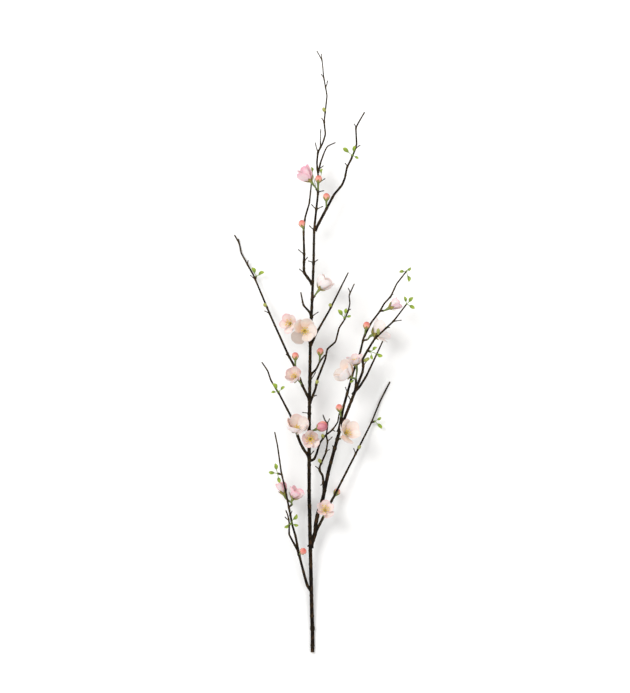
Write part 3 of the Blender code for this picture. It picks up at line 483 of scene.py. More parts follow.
def makeVeins():
    # Fine streaks that run along a blade from its foot and fan out with it
    group, given, made = newGroup(
        "veins", [("Across", "Float", 0.0), ("Along", "Float", 0.0), ("Count", "Float", 20.0),
                  ("Seed", "Float", 0.0)], [("Mask", "Float")])
    where = fed(addNode("CombineXYZ"), range(3), (times(given["Across"], given["Count"]),
                                                  times(given["Along"], 1.6), given["Seed"]))
    feed(made["Mask"], ramp(cloud(where, 1.0, 3), 0.48, 0.68))
    return group


mottle, veins = makeMottle(), makeVeins()


def newMaterial(name, roughness, through=None):
    # "through": how much light goes through a thin tissue, how its colours do, and how deep
    made = bpy.data.materials.new(name)
    made.use_nodes = True
    bench["tree"] = made.node_tree
    shader = made.node_tree.nodes["Principled BSDF"].inputs
    shader["Roughness"].default_value = roughness
    if through:
        for part, value in zip(("Weight", "Radius", "Scale"), through):
            shader["Subsurface " + part].default_value = value
    return made, shader


def surfaced(shader, colour, scale, amount, depth, strength, relief=None, share=1.0):
    # The colour goes through the mottle; the bumps are the relief and a share of the mottle's height
    soft = placeGroup(mottle, Colour=colour, Scale=scale, Amount=amount)
    feed(shader["Base Color"], soft["Colour"])
    height = soft["Height"]
    if relief is not None:
        height = sums("MULTIPLY_ADD", height, share, relief)
    feed(shader["Normal"], fed(addNode("Bump"), ("Strength", "Distance", "Height"),
                               (strength, depth, height)))


# paintedShadeGrey is painted shade: the grey of petals that lie in shadow
petalColours = {
    "outer": (0.86, 0.805, 0.785), "inner": (0.86, 0.795, 0.76), "claw": (0.76, 0.68, 0.38),
    "peach": (0.85, 0.57, 0.41), "coral": (0.86, 0.42, 0.39), "lilac": (0.85, 0.42, 0.56),
    "paintedShadeGrey": (0.50, 0.43, 0.38),
}


def makePetalMaterial():
    # Pink rims, a peach inside that fades outwards, a yellow claw, fine veins, and a grey painted shade
    # where the "shade" attribute is set
    look = petalColours
    made, shader = newMaterial("petalTissue", 0.55, (0.25, (1.0, 0.6, 0.45), 0.0015))
    across, along = acrossAndAlong()
    inside, blush = attribute("inside"), attribute("blush")
    rim = sums("MAXIMUM", sums("POWER", sums("ABSOLUTE", across), 3.0), ramp(along, 0.72, 1.0))
    colour = mixed(inside, look["outer"], look["inner"])
    warmth = times(ramp(along, 0.25, 0.92, (1.0, 0.06)), times(inside, attribute("peach")))
    colour = mixed(warmth, colour, look["peach"])
    pink = mixed(attribute("lilac"), look["coral"], look["lilac"])
    spread = sums("MULTIPLY_ADD", rim, 0.55, sums("ADD", ramp(blush, 0.8, 1.0, (0.0, 0.3)), 0.12))
    colour = mixed(times(spread, blush), colour, pink)
    lines = placeGroup(veins, Across=across, Along=along, Count=16.0, Seed=attribute("seed"))["Mask"]
    colour = mixed(times(lines, 0.3), colour, mixed(0.35, colour, look["coral"], "MULTIPLY"))
    colour = mixed(ramp(along, 0.04, 0.2, (0.7, 0.0)), colour, look["claw"])
    # Painted shade: petals with a "shade" value are mixed towards a shadow grey
    colour = mixed(attribute("shade"), colour, look["paintedShadeGrey"])
    surfaced(shader, colour, 220.0, 0.06, 0.00018, 0.6, lines, 0.4)
    return made


budColours = {
    "deep": ((0.80, 0.17, 0.14), (0.46, 0.08, 0.15)), "pale": ((0.86, 0.45, 0.34), (0.68, 0.28, 0.38)),
}


def makeBudMaterial():
    # Closed petals: coral at the top, paler where they leave the cup; the second colours are lilac
    made, shader = newMaterial("budTissue", 0.5, (0.15, (1.0, 0.5, 0.4), 0.001))
    across, along = acrossAndAlong()
    deep, pale = (mixed(attribute("lilac"), *budColours[key]) for key in ("deep", "pale"))
    rim = sums("MAXIMUM", sums("POWER", sums("ABSOLUTE", across), 4.0), ramp(along, 0.45, 0.95))
    colour = mixed(sums("MULTIPLY_ADD", rim, 0.75, 0.1), pale, deep)
    lines = placeGroup(veins, Across=across, Along=along, Count=10.0, Seed=attribute("seed"))["Mask"]
    colour = mixed(times(lines, 0.25), colour, deep)
    surfaced(shader, colour, 300.0, 0.12, 0.00015, 0.6, lines)
    return made


leafColours = {
    "leafTissue": ((0.36, 0.48, 0.025), (0.16, 0.26, 0.012), (0.42, 0.38, 0.05)),
    "leafBudTissue": ((0.46, 0.46, 0.10), (0.29, 0.30, 0.05), (0.30, 0.18, 0.06)),
    "vein": (0.50, 0.62, 0.20),
}


def makeLeafMaterial(name):
    # Darker at the foot, a pale midrib with side veins, and a tip of its own colour
    light, dark, tip = leafColours[name]
    made, shader = newMaterial(name, 0.42, (0.15, (0.4, 1.0, 0.2), 0.0008))
    across, along = acrossAndAlong()
    off, blade = sums("ABSOLUTE", across), attribute("blade")
    slope = sums("SUBTRACT", times(along, 46.0), times(off, 9.0))
    side = times(ramp(sums("SINE", slope), 0.75, 1.0), 0.6)
    lines = times(sums("MAXIMUM", ramp(off, 0.03, 0.14, (1.0, 0.0)), side), blade)
    colour = mixed(ramp(along, 0.2, 0.9), dark, light)
    colour = mixed(times(lines, 0.55), colour, leafColours["vein"])
    colour = mixed(times(ramp(along, 0.86, 1.0, (0.0, 0.5)), blade), colour, tip)
    surfaced(shader, colour, 260.0, 0.3, 0.0002, 0.7, times(lines, -1.0), 0.5)
    return made


greenColours = {
    "stalk": ((0.11, 0.17, 0.03), (0.32, 0.37, 0.08)), "sepal": ((0.42, 0.36, 0.06), (0.27, 0.22, 0.04)),
    "foot": (0.24, 0.27, 0.045), "tip": (0.20, 0.045, 0.022),
}


def makeGreenMaterial():
    # Stalk and cup mid green with paler ribs, sepals olive-gold with brown-red tips
    look = greenColours
    made, shader = newMaterial("calyxTissue", 0.5)
    across, along = acrossAndAlong()
    ribs = attribute("rib")
    sepal = mixed(sums("ABSOLUTE", across), *look["sepal"])
    sepal = mixed(ramp(along, 0.0, 0.35, (0.8, 0.0)), sepal, look["foot"])
    sepal = mixed(times(ramp(along, 0.72, 1.0), attribute("ruddy")), sepal, look["tip"])
    colour = mixed(attribute("blade"), mixed(ribs, *look["stalk"]), sepal)
    surfaced(shader, colour, 330.0, 0.4, 0.0002, 0.6, ribs)
    return made


stamenColours = {"filament": (0.78, 0.62, 0.20), "anther": (0.96, 0.66, 0.03), "disc": (0.50, 0.40, 0.12)}


def makeStamenMaterial():
    made, shader = newMaterial("stamenTissue", 0.6)
    colour = mixed(attribute("golden"), stamenColours["filament"], stamenColours["anther"])
    colour = mixed(attribute("disc"), colour, stamenColours["disc"])
    surfaced(shader, colour, 900.0, 0.35, 0.0002, 0.8)
    return made


barkColours = {
    "dark": (0.006, 0.0035, 0.002), "thin": (0.032, 0.0135, 0.005), "knot": (0.10, 0.070, 0.026),
    "brown": (0.080, 0.038, 0.014), "speck": (0.22, 0.15, 0.09), "cut": (0.30, 0.20, 0.11),
    "scale": ((0.13, 0.09, 0.04), (0.045, 0.028, 0.018)),
}


def makeBarkMaterial():
    # Nearly black where the wood is thick, browner where it is thin, with patches, specks and knots
    look = barkColours
    made, shader = newMaterial("bark", 0.72)
    shader["Specular IOR Level"].default_value = 0.1
    where = fed(addNode("Mapping"), ("Vector", "Scale"), (objectPlace(), (1.0, 0.45, 1.0)))
    grain = cloud(where, 700.0, 6)
    spots = fed(addNode("TexVoronoi"), ("Vector", "Scale"), (objectPlace(), 330.0), "Distance")
    speck = ramp(spots, 0.1, 0.22, (1.0, 0.0))
    colour = mixed(attribute("thin"), look["dark"], look["thin"])
    for factor, key in ((ramp(cloud(where, 210.0, 4), 0.5, 0.64, (0.0, 0.65)), "brown"),
                        (ramp(grain, 0.52, 0.75, (0.0, 0.5)), "thin"), (times(speck, 0.25), "speck"),
                        (times(attribute("knot"), 0.65), "knot"), (attribute("cut"), "cut")):
        colour = mixed(factor, colour, look[key])
    surfaced(shader, colour, 160.0, 0.55, 0.0005, 0.8, sums("MULTIPLY_ADD", speck, 0.8, grain), 0.0)
    return made


def makeScaleMaterial():
    made, shader = newMaterial("budScale", 0.5)
    colour = mixed(ramp(acrossAndAlong()[1], 0.2, 0.9), *barkColours["scale"])
    surfaced(shader, colour, 500.0, 0.5, 0.0002, 0.7)
    return made


petalTissue, budTissue = makePetalMaterial(), makeBudMaterial()
calyxTissue, stamenTissue = makeGreenMaterial(), makeStamenMaterial()
barkFinish, scaleFinish = makeBarkMaterial(), makeScaleMaterial()
leafTissue, leafBudTissue = makeLeafMaterial("leafTissue"), makeLeafMaterial("leafBudTissue")
print("finishes made")


wood = {
    "girth": 1.06, "footGain": (0.22, 45.0), "fuller": 0.3, "leaderGain": (0.1, 400.0),
    "nodeEvery": (16, 34), "firstNode": 0.6, "lastNode": 8, "nodeGain": (0.16, 1.5),
    "step": 1.6, "bendReach": 9.0, "collar": (0.5, 4.5), "swelling": (0.3, 2.2), "wander": (0.05, 9.0),
    "taper": 1.3, "tapers": {"leader": 1.5, "right_limb": 1.6}, "end": ((0.45, 0.8), (0.8, 0.4)),
    "stubBow": 0.9, "stubSides": 8, "grain": ((420, 0.6), (1100, 0.4)), "roughness": 0.176,
    "thin": (2.0, 1.3), "knotReach": 3.2,
    "stub": ((0, 1.35), (0.45, 0.85), (0.7, 0.75), (0.85, 0.95), (0.95, 0.8), (1.0, 0.35)),
    "spur": ((0, 1.8), (0.3, 1.55), (0.45, 1.8), (0.6, 1.55), (0.78, 1.85), (1.0, 1.6)),
}


def bentRoute(points):
    # A smooth line through the points, straighter between them than at them
    points = [Vector(p) for p in points]
    runs = [b - a for a, b in zip(points, points[1:])]
    ways = [run.normalized() for run in runs]
    tangents = [ways[0]]
    for (a, b), (c, d) in zip(zip(runs, runs[1:]), zip(ways, ways[1:])):
        tangents.append((c * b.length + d * a.length) / (a.length + b.length))
    tangents.append(ways[-1])
    line = [points[0]]
    for i, run in enumerate(runs):
        pull = min(run.length * 0.9, wood["bendReach"])
        count = max(2, round(run.length / wood["step"]))
        for j in range(1, count + 1):
            t = j / count
            line.append(points[i] * (2 * t ** 3 - 3 * t * t + 1)
                        + points[i + 1] * (3 * t * t - 2 * t ** 3)
                        + tangents[i] * pull * (t ** 3 - 2 * t * t + t)
                        + tangents[i + 1] * pull * (t ** 3 - t * t))
    return line


def woodySeats():
    rows = [(b["on"], b["seat"]) for b in blooms.values() if b["on"]]
    rows += [(on, seat) for on, seat, _ in list(roundBuds.values()) + list(leafTufts.values())]
    return [(on[0], onShoot(on[0], *on[1]), Vector(seat)) for on, seat in rows if on[1]]


def bump(amount, reach, distance):
    return 1 + amount * exp(-(distance / reach) ** 2)


def shootStrand(name, knots):
    # A shoot's line and thickness: it tapers, and swells at knots, nodes and its own foot
    route, (root, tip), _ = shootRoutes[name]
    line = bentRoute(route)
    travelled = [0.0]
    for a, b in zip(line, line[1:]):
        travelled.append(travelled[-1] + (b - a).length)
    power = wood["tapers"].get(name, wood["taper"])
    draw = random.Random(len(line))
    nodes = [draw.uniform(*wood["nodeEvery"]) * wood["firstNode"]]
    while nodes[-1] < travelled[-1] - wood["lastNode"]:
        nodes.append(nodes[-1] + draw.uniform(*wood["nodeEvery"]))
    nodePlaces = [line[min(range(len(line)), key=lambda i: abs(travelled[i] - s))] for s in nodes]
    leaderGain, leaderReach = wood["leaderGain"]
    footGain, footReach = wood["footGain"]
    wave, waveLength = wood["wander"]
    radii = []
    for place, s in zip(line, travelled):
        radius = tip + (root - tip) * (1 - (s / travelled[-1]) ** power)
        radius *= bump(*wood["swelling"], min([(place - knot).length for knot in knots] or [99]))
        radius *= bump(*wood["nodeGain"], min(abs(s - node) for node in nodes))
        if name == "leader":
            radius *= 1 + leaderGain * min(1.0, s / leaderReach)
        else:
            radius *= wood["girth"] * bump(*wood["collar"], s)
            radius *= 1 + footGain * exp(-s / footReach)
            radius += wood["fuller"]
        radii.append(radius * (1 + wave * noise.noise((s / waveLength, root, tip))))
    way = (line[-1] - line[-2]).normalized()
    for forward, share in wood["end"]:
        line.append(line[-1] + way * radii[-1] * forward)
        radii.append(tip * share)
    return line, radii, nodePlaces


def shortStrand(start, end, profile, bow=0.0):
    side = (end - start).cross(Vector((0, 0, 1))).normalized() * bow
    points = [start.lerp(end, t) + side * sin(pi * t) for t, _ in profile]
    return points, [radius for _, radius in profile]


def treeOf(places):
    tree = KDTree(len(places))
    for i, place in enumerate(places):
        tree.insert(toRow(place), i)
    tree.balance()
    return tree


def grownTogether(pieces):
    # One closed surface from all the shoots and stubs
    body, rest = pieces[0], pieces[1:]
    others = bpy.data.collections.new("shoots")
    bpy.context.scene.collection.children.link(others)
    for piece in rest:
        bpy.context.scene.collection.objects.unlink(piece)
        others.objects.link(piece)
    union = body.modifiers.new("Union", "BOOLEAN")
    union.operand_type = "COLLECTION"
    union.operation = "UNION"
    union.collection = others
    union.solver = "MANIFOLD"
    applyModifiers(body)
    for piece in rest:
        bpy.data.objects.remove(piece)
    bpy.data.collections.remove(others)
    body.name = body.data.name = "wood"
    return body


def roughen(body, samples, knots):
    # Rough bark, and what the finish reads: how thin the wood is, how near a knot, and the cut end
    radiusTree, knotTree = treeOf([place for place, _ in samples]), treeOf(knots)
    heel = toRow(shootRoutes["leader"][0][0]).y + 0.0003
    thinFrom, thinSpan = wood["thin"]
    thin, knot, cut = [], [], []
    vertices = body.data.vertices
    for vertex, normal in zip(vertices, [v.normal.copy() for v in vertices]):
        place = vertex.co.copy()
        radius = samples[radiusTree.find(place)[1]][1]
        thin.append(max(0.0, min(1.0, (thinFrom - radius) / thinSpan)))
        knot.append(exp(-(knotTree.find(place)[2] * 1000 / wood["knotReach"]) ** 2))
        cut.append(float(place.y < heel))
        if place.y >= heel:
            rough = sum(noise.noise(place * scale) * share for scale, share in wood["grain"])
            vertex.co += normal * rough * wood["roughness"] * min(1.0, radius / 2) * 0.001
        vertex.co.z = max(vertex.co.z, 0.0)
    for name, values in (("thin", thin), ("knot", knot), ("cut", cut)):
        setAttribute(body, name, values)


def makeWood():
    draw = random.Random(7)
    knots = {name: [] for name in shootRoutes}
    strands = []
    for shoot, rows in stubs.items():
        for row in rows:
            start, end = footAndTip(shoot, *row)
            knots[shoot].append(start)
            bow = draw.uniform(-wood["stubBow"], wood["stubBow"])
            strands.append(shortStrand(start, end, wood["stub"], bow))
    for shoot, start, seat in woodySeats():
        knots[shoot].append(start)
        strands.append(shortStrand(start, seat, wood["spur"]))
    for shoot, *row in leafBuds:
        knots[shoot].append(onShoot(shoot, *row[:2]))
    pieces, samples = [], []
    for name, (_, _, sides) in shootRoutes.items():
        line, radii, nodePlaces = shootStrand(name, knots[name])
        pieces.append(bevelled(name, [(line, radii)], sides))
        samples += zip(line, radii)
        knots[name] += nodePlaces
    pieces += [bevelled("stub", [strand], wood["stubSides"]) for strand in strands]
    body = grownTogether(pieces)
    spots = [place for places in knots.values() for place in places]
    roughen(body, samples, spots + [route[0] for route, _, _ in shootRoutes.values()])
    return finishPiece(body, barkFinish, ["branch"])


print("wood", len(makeWood().data.polygons))


scale = {
    "outline": ((0, 0.6), (0.3, 1.0), (0.6, 0.8), (0.85, 0.42), (1.0, 0.08)), "hug": (0.35, 0.5, 0.55),
    "knotCount": 3, "knotTurn": 2.1, "knotBack": (1.8, 2.8), "knotOut": 1.3, "knotLength": (2.8, 4.0),
    "knotWidth": 2.4, "stubPlace": 0.62, "stubOut": 0.55, "stubSize": (2.6, 1.5),
    "grid": (3, 4), "thickness": 0.45,
}


def scaleShape(root, way, out, length, width):
    # A pointed scale that hugs what it grows from
    side = way.cross(out).normalized()
    rest, bulge, hollow = scale["hug"]

    def shape(v, share):
        half = width / 2 * between(scale["outline"], share)
        bend = out * (rest + bulge * sin(pi * share) - hollow * v * v)
        return root + way * (length * share) + side * (half * v) + bend
    return shape


def makeScales():
    # Three scales at the end of each spur, and one on each stub
    draw = random.Random(11)
    shapes = []
    for shoot, start, seat in woodySeats():
        way = (seat - start).normalized()
        turn = turnedTo(way)
        for k in range(scale["knotCount"]):
            out = turn @ around(scale["knotTurn"] * k + draw.uniform(0, 1), 1, 0)
            root = seat - way * draw.uniform(*scale["knotBack"]) + out * scale["knotOut"]
            length = draw.uniform(*scale["knotLength"])
            shapes.append((scaleShape(root, way, out, length, scale["knotWidth"]), {}))
    for shoot, rows in stubs.items():
        for row in rows:
            start, end = footAndTip(shoot, *row)
            way = (end - start).normalized()
            out = (Vector((0, 0, 1)) - way * way.z).normalized()
            root = start.lerp(end, scale["stubPlace"]) + out * scale["stubOut"]
            shapes.append((scaleShape(root, way, out, *scale["stubSize"]), {}))
    finishPiece(sheets("budScales", shapes, scale["grid"], scale["thickness"]), scaleFinish)


folded = {"polars": (0.97, 0.93), "width": (0.55, 0.45, 0.1), "roundness": 0.85, "lift": (0.5, 0.4)}


def foldedShape(centre, turn, radius, height, count, k, twist, overlap, lift):
    # One of several petals or scales folded round an egg: one edge over its neighbour, one under
    (low, rise), (least, more, ahead) = folded["polars"], folded["width"]
    inner, edge = folded["lift"]

    def shape(v, share):
        polar = pi * (low - rise * share)
        width = overlap * pi / count * (least + more * sin(pi * min(1, share + ahead)))
        azimuth = 2 * pi * k / count + width * v + twist * share * share
        reach = radius * sin(polar) ** folded["roundness"] * (1 - lift * v * sin(pi * share) ** 0.5)
        level = height * cos(polar)
        level += lift * radius * (inner * share * (1 - abs(v)) - edge * v * share)
        return centre + turn @ around(azimuth, reach, level)
    return shape


leafBud = {
    "scales": 4, "radius": 3.1, "core": (2.8, 0.93), "half": 0.44, "middle": 0.56, "turnEach": 20,
    "fold": (0.5, 1.7, 0.07), "grid": (5, 7), "thickness": 0.4,
}


def makeLeafBuds():
    shapes, cores = [], []
    for i, row in enumerate(leafBuds):
        start, end = footAndTip(*row)
        turn = turnedTo(end - start, leafBud["turnEach"] * i)
        half = (end - start).length * leafBud["half"]
        centre = start.lerp(end, leafBud["middle"])
        girth, share = leafBud["core"]
        cores.append(ball("core", centre, turn, (girth, girth, half * share)))
        for k in range(leafBud["scales"]):
            shapes.append((foldedShape(centre, turn, leafBud["radius"], half, leafBud["scales"], k,
                                       *leafBud["fold"]), {"seed": i + k}))
    sheet = sheets("leafBuds", shapes, leafBud["grid"], leafBud["thickness"])
    piece = joined("leafBuds", [sheet] + cores)
    finishPiece(piece, leafBudTissue)


makeScales()
makeLeafBuds()
print("scales and leaf buds made")


petal = {
    "count": 5, "grid": (8, 12), "thickness": 0.4, "claw": (2.0, 0.9), "clawHalf": 0.6, "steps": 50,
    "cupping": 0.12, "swirl": 2.6, "spiral": 0.3, "wrap": 1.25, "jitter": 0.05, "flattest": 84,
    "wave": 0.3, "rounding": 0.13, "roundFrom": 0.4, "notch": 0.035, "notchHalf": 0.16,
    "ruffle": 0.4, "ruffles": 5.5, "phases": 9, "flat": 0.3, "seedStep": 3.7,
    "blushRange": (0.75, 1.3), "peachRange": (0.6, 1.2),
    "outline": ((0.08, 0.27), (0.2, 0.52), (0.31, 0.7), (0.45, 0.88), (0.6, 0.99), (0.74, 1.0),
                (0.86, 0.93), (0.94, 0.8), (1.0, 0.58)),
}


def petalShape(bloom, k, draw):
    # A narrow claw, a broad cupped blade and a ruffled rim; it lies over one neighbour, under the other
    length, width = bloom["petal"]
    apart = bloom["lean"]
    lean = apart.get(k, 0) + draw.uniform(-1, 1) * petal["jitter"] * bloom["opening"][1]
    root = radians(min(petal["flattest"], bloom["opening"][0] + lean))
    tip = radians(bloom["opening"][1] + lean)
    azimuth = 2 * pi * k / petal["count"] + draw.uniform(-1, 1) * petal["jitter"]
    waves = [[draw.uniform(-1, 1) for _ in range(3)] for _ in range(3)]
    phase = petal["phases"] * waves[2][2]
    base, turn = poseOf(bloom)
    outline = ((0, 2 * petal["clawHalf"] / width), *petal["outline"])
    path = arcPath(petal["claw"], length, root, tip, petal["steps"])

    def shape(v, share):
        reach, height = path[round(share * petal["steps"])]
        angle = root + (tip - root) * share
        half = width / 2 * between(outline, share)
        wrap = petal["wrap"] * tanh(half / reach / petal["wrap"])
        if k in apart:
            side = -abs(v)
        elif (k - 1) % petal["count"] in apart:
            side = abs(v)
        else:
            side = v
        row = waves[0 if share < 0.5 else 1 if share < 0.85 else 2]
        inward = petal["cupping"] * half * v * v
        inward += min(petal["swirl"], petal["spiral"] * reach) * wrap * side
        inward += petal["wave"] * share * row[1 + round(v)] * v * v
        inward += petal["ruffle"] * sin(petal["ruffles"] * v + phase) * abs(v) * share ** 3
        inward -= petal["flat"] * reach * (1 / cos(wrap * v) - 1) * min(1, 3 * share)
        forward = length * petal["rounding"] * share ** 3 * (petal["roundFrom"] - v * v)
        forward -= length * petal["notch"] * exp(-(v / petal["notchHalf"]) ** 2) * share ** 10
        out = reach - inward * cos(angle) + forward * sin(angle)
        up = height + inward * sin(angle) + forward * cos(angle)
        return base + turn @ around(azimuth + wrap * v, out, up)
    return shape


def makePetals(name, bloom):
    draw, vary = random.Random(int(name)), random.Random(100 + int(name))
    blush, peach, lilac = tints[name]
    shapes = []
    for k in range(petal["count"]):
        varied = (min(1.0, blush * vary.uniform(*petal["blushRange"])),
                  min(1.0, peach * vary.uniform(*petal["peachRange"])), 0.0)
        tone = dict(zip(("blush", "peach", "shade"), petalTones.get((name, k), varied)))
        shapes.append((petalShape(bloom, k, draw),
                       {**tone, "lilac": lilac, "seed": petal["seedStep"] * k + int(name)}))
    piece = sheets("corolla_" + name, shapes, petal["grid"], petal["thickness"])
    finishPiece(piece, petalTissue, ["petals_" + name])


stamen = {
    "discHeight": 1.7, "discSize": (1.9, 1.9, 0.9), "ring": (0.55, 1.25), "foot": 2.1,
    "length": (6.4, 8.6), "spread": 40, "openShare": 0.4, "jitter": 0.25, "vary": (0.75, 1.05),
    "innerLean": 0.5, "bend": (0.6, 0.5), "nod": 0.5, "filament": 0.27, "sides": (6, 8),
    "anther": ((-0.1, 0.28), (0.1, 0.65), (0.55, 0.82), (1.3, 0.75), (1.9, 0.3)),
}


def makeStamens(name, bloom):
    # Two rings of bent filaments with anthers, on a small disc
    draw = random.Random(200 + int(name))
    base, turn = poseOf(bloom)
    spread = radians(min(stamen["spread"], sum(bloom["opening"]) * stamen["openShare"]))
    filaments, anthers = [], []
    count = 2 * bloom["stamens"]
    for k in range(count):
        azimuth = 2 * pi * (k + draw.uniform(-stamen["jitter"], stamen["jitter"])) / count
        lean = spread * draw.uniform(*stamen["vary"]) * (1.0 if k % 2 else stamen["innerLean"])
        out = Vector((cos(azimuth), sin(azimuth), 0))
        length = draw.uniform(*stamen["length"])
        foot = out * stamen["ring"][k % 2] + Vector((0, 0, stamen["foot"]))
        points = []
        for t in (0, 0.25, 0.5, 0.75, 1.0):
            angle = lean * (stamen["bend"][0] + stamen["bend"][1] * t)
            points.append(foot + (out * sin(angle) + Vector((0, 0, cos(angle)))) * length * t)
        way = (points[-1] - points[-2]).normalized()
        across = Vector((-out.y, out.x, 0)) * draw.uniform(-stamen["nod"], stamen["nod"])
        tip = [points[-1] + (way + across * max(0, s)) * s for s, _ in stamen["anther"]]
        filaments.append(([base + turn @ p for p in points], [stamen["filament"]] * 5))
        anthers.append(([base + turn @ p for p in tip], [r for _, r in stamen["anther"]]))
    stalks = bevelled("stamens", filaments, stamen["sides"][0])
    heads = bevelled("anthers", anthers, stamen["sides"][1])
    setAttribute(stalks, "golden", 0.0)
    setAttribute(heads, "golden", 1.0)
    disc = ball("disc", base + turn @ Vector((0, 0, stamen["discHeight"])), turn, stamen["discSize"])
    setAttribute(disc, "disc", 1.0)
    piece = joined("stamenRing_" + name, [stalks, heads, disc])
    finishPiece(piece, stamenTissue, ["stamens_" + name])


# "sepalLength", "sepalWidth" and "curl" hold a value for open flowers, then one for half-closed ones
green = {
    "cupHeight": 5.5, "pedicel": (1.3, 2.1), "bow": 0.33, "collar": 0.12, "stalkSteps": 9,
    "stalkSides": 20, "ribs": 10, "ribHeight": 0.06, "ribReach": 5, "plain": 0.2, "knobSides": 12,
    "sepals": 5, "grid": (4, 7), "thickness": 0.5, "sepalLength": (9.5, 12.5),
    "sepalWidth": (6.6, 8.4), "sepalFoot": (2.6, -1.4), "curl": (0.35, 0.85), "closed": 62,
    "cupping": 0.1, "spread": 13, "follow": 0.6, "flattest": 84, "steps": 20, "ruddy": (0.4, 0.3),
    "knob": ((0, 1.6), (1.2, 1.9), (2.4, 1.7), (3.0, 0.8)),
    "cup": ((0, 2.15), (0.2, 2.35), (0.42, 2.6), (0.65, 2.85), (0.85, 3.05), (0.97, 2.9), (1.0, 2.0)),
    "sepal": ((0, 0.72), (0.2, 0.96), (0.38, 1.0), (0.6, 0.84), (0.8, 0.52), (0.93, 0.24),
              (1.0, 0.05)),
}


def ribbedStalk(start, leaving, flower, girth=1.0):
    # The stalk bends from the wood to the flower's axis and widens into a cup with low, paler ribs
    base, turn = poseOf(flower)
    axis, cupHeight = turn.col[2], green["cupHeight"]
    foot = base - axis * cupHeight
    bow = (foot - start).length * green["bow"]
    a, b = start + leaving * bow, foot - axis * bow
    thin, wide = green["pedicel"]
    points, radii = [], []
    for i in range(green["stalkSteps"]):
        t = i / green["stalkSteps"]
        points.append(start * (1 - t) ** 3 + a * 3 * t * (1 - t) ** 2 + b * 3 * t * t * (1 - t)
                      + foot * t ** 3)
        radii.append((thin + (wide - thin) * t ** 1.5) * (1 + green["collar"] * (1 - min(1, 4 * t))))
    for share, radius in green["cup"]:
        points.append(foot + axis * cupHeight * share)
        radii.append(radius * (1 + (girth - 1) * min(1, share * 3)))
    piece = bevelled("stalk", [(points, radii)], green["stalkSides"])
    base, ribs = toRow(base), []
    for vertex in piece.data.vertices:
        local = turn.transposed() @ (vertex.co - base) * 1000
        share = max(0.0, min(1.0, (local.z + cupHeight + 1) / 2)) * (local.xy.length > 0.1)
        rib = 0.5 + 0.5 * cos(green["ribs"] * atan2(local.y, local.x))
        near = share > 0 and local.xy.length < green["ribReach"]
        ribs.append(rib * share if near else green["plain"])
        local.xy *= 1 + green["ribHeight"] * (rib - 0.5) * share
        vertex.co = base + turn @ (local * 0.001)
    setAttribute(piece, "rib", ribs)
    return piece


def sepalShape(flower, k, closed):
    # A sepal lies under the edges of two petals, and stands further out where one of them does
    base, turn = poseOf(flower)
    apart = flower["lean"]
    away = green["spread"] + green["follow"] * max(apart.get(-k % 5, 0), apart.get((1 - k) % 5, 0))
    root = radians(min(green["flattest"], flower["opening"][0] + away))
    tip = root + radians(flower["opening"][1] - flower["opening"][0]) * green["curl"][closed]
    azimuth = 2 * pi * (0.5 - k) / green["sepals"]
    path = arcPath(green["sepalFoot"], green["sepalLength"][closed], root, tip, green["steps"])

    def shape(v, share):
        reach, height = path[round(share * green["steps"])]
        angle = root + (tip - root) * share
        half = green["sepalWidth"][closed] / 2 * between(green["sepal"], share)
        inward = green["cupping"] * half * v * v
        out, up = reach - inward * cos(angle), height + inward * sin(angle)
        return base + turn @ around(azimuth + tanh(half / reach) * v, out, up)
    return shape


def knob(start, leaving, rings):
    strand = [start + leaving * s for s, _ in rings], [r for _, r in rings]
    return bevelled("foot", [strand], green["knobSides"])


def makeGreenParts(names):
    first = blooms[names[0]]
    start, leaving = seatOf(first["on"], first["seat"])
    pieces = []
    if len(names) > 1:
        pieces.append(knob(start, leaving, green["knob"]))
    for name in names:
        closed = blooms[name]["opening"][0] < green["closed"]
        strong, least = green["ruddy"]
        shapes = [(sepalShape(blooms[name], k, closed), {"ruddy": strong * (least + k % 3)})
                  for k in range(green["sepals"])]
        pieces += [ribbedStalk(start, leaving, blooms[name]),
                   sheets("sepals", shapes, green["grid"], green["thickness"])]
    joinedNames = "_".join(names)
    piece = joined("greenParts_" + joinedNames, pieces)
    finishPiece(piece, calyxTissue, ["calyx_" + joinedNames])


leaf = {
    "grid": (6, 18), "thickness": 0.4, "width": 8.0 / 13.0, "droop": 0.4, "fold": 0.65,
    "foldPower": 1.5, "ripple": 0.16, "ripples": (7, 1.5), "teeth": 9, "toothDepth": 0.07,
    "toothFrom": 0.12, "sickle": 0.2, "back": 0.48, "front": 0.52,
    "stalkShare": 0.2, "stalkHalf": 0.5, "stalkFold": -0.3, "stalkBend": 0.23, "foot": 1.2,
    "knob": ((0, 1.6), (0.9, 1.75), (1.8, 1.45), (2.4, 0.8)),
    "outline": ((0, 0.1), (0.1, 0.36), (0.28, 0.78), (0.45, 0.97), (0.6, 1.0), (0.76, 0.88),
                (0.9, 0.58), (1.0, 0.12)),
}


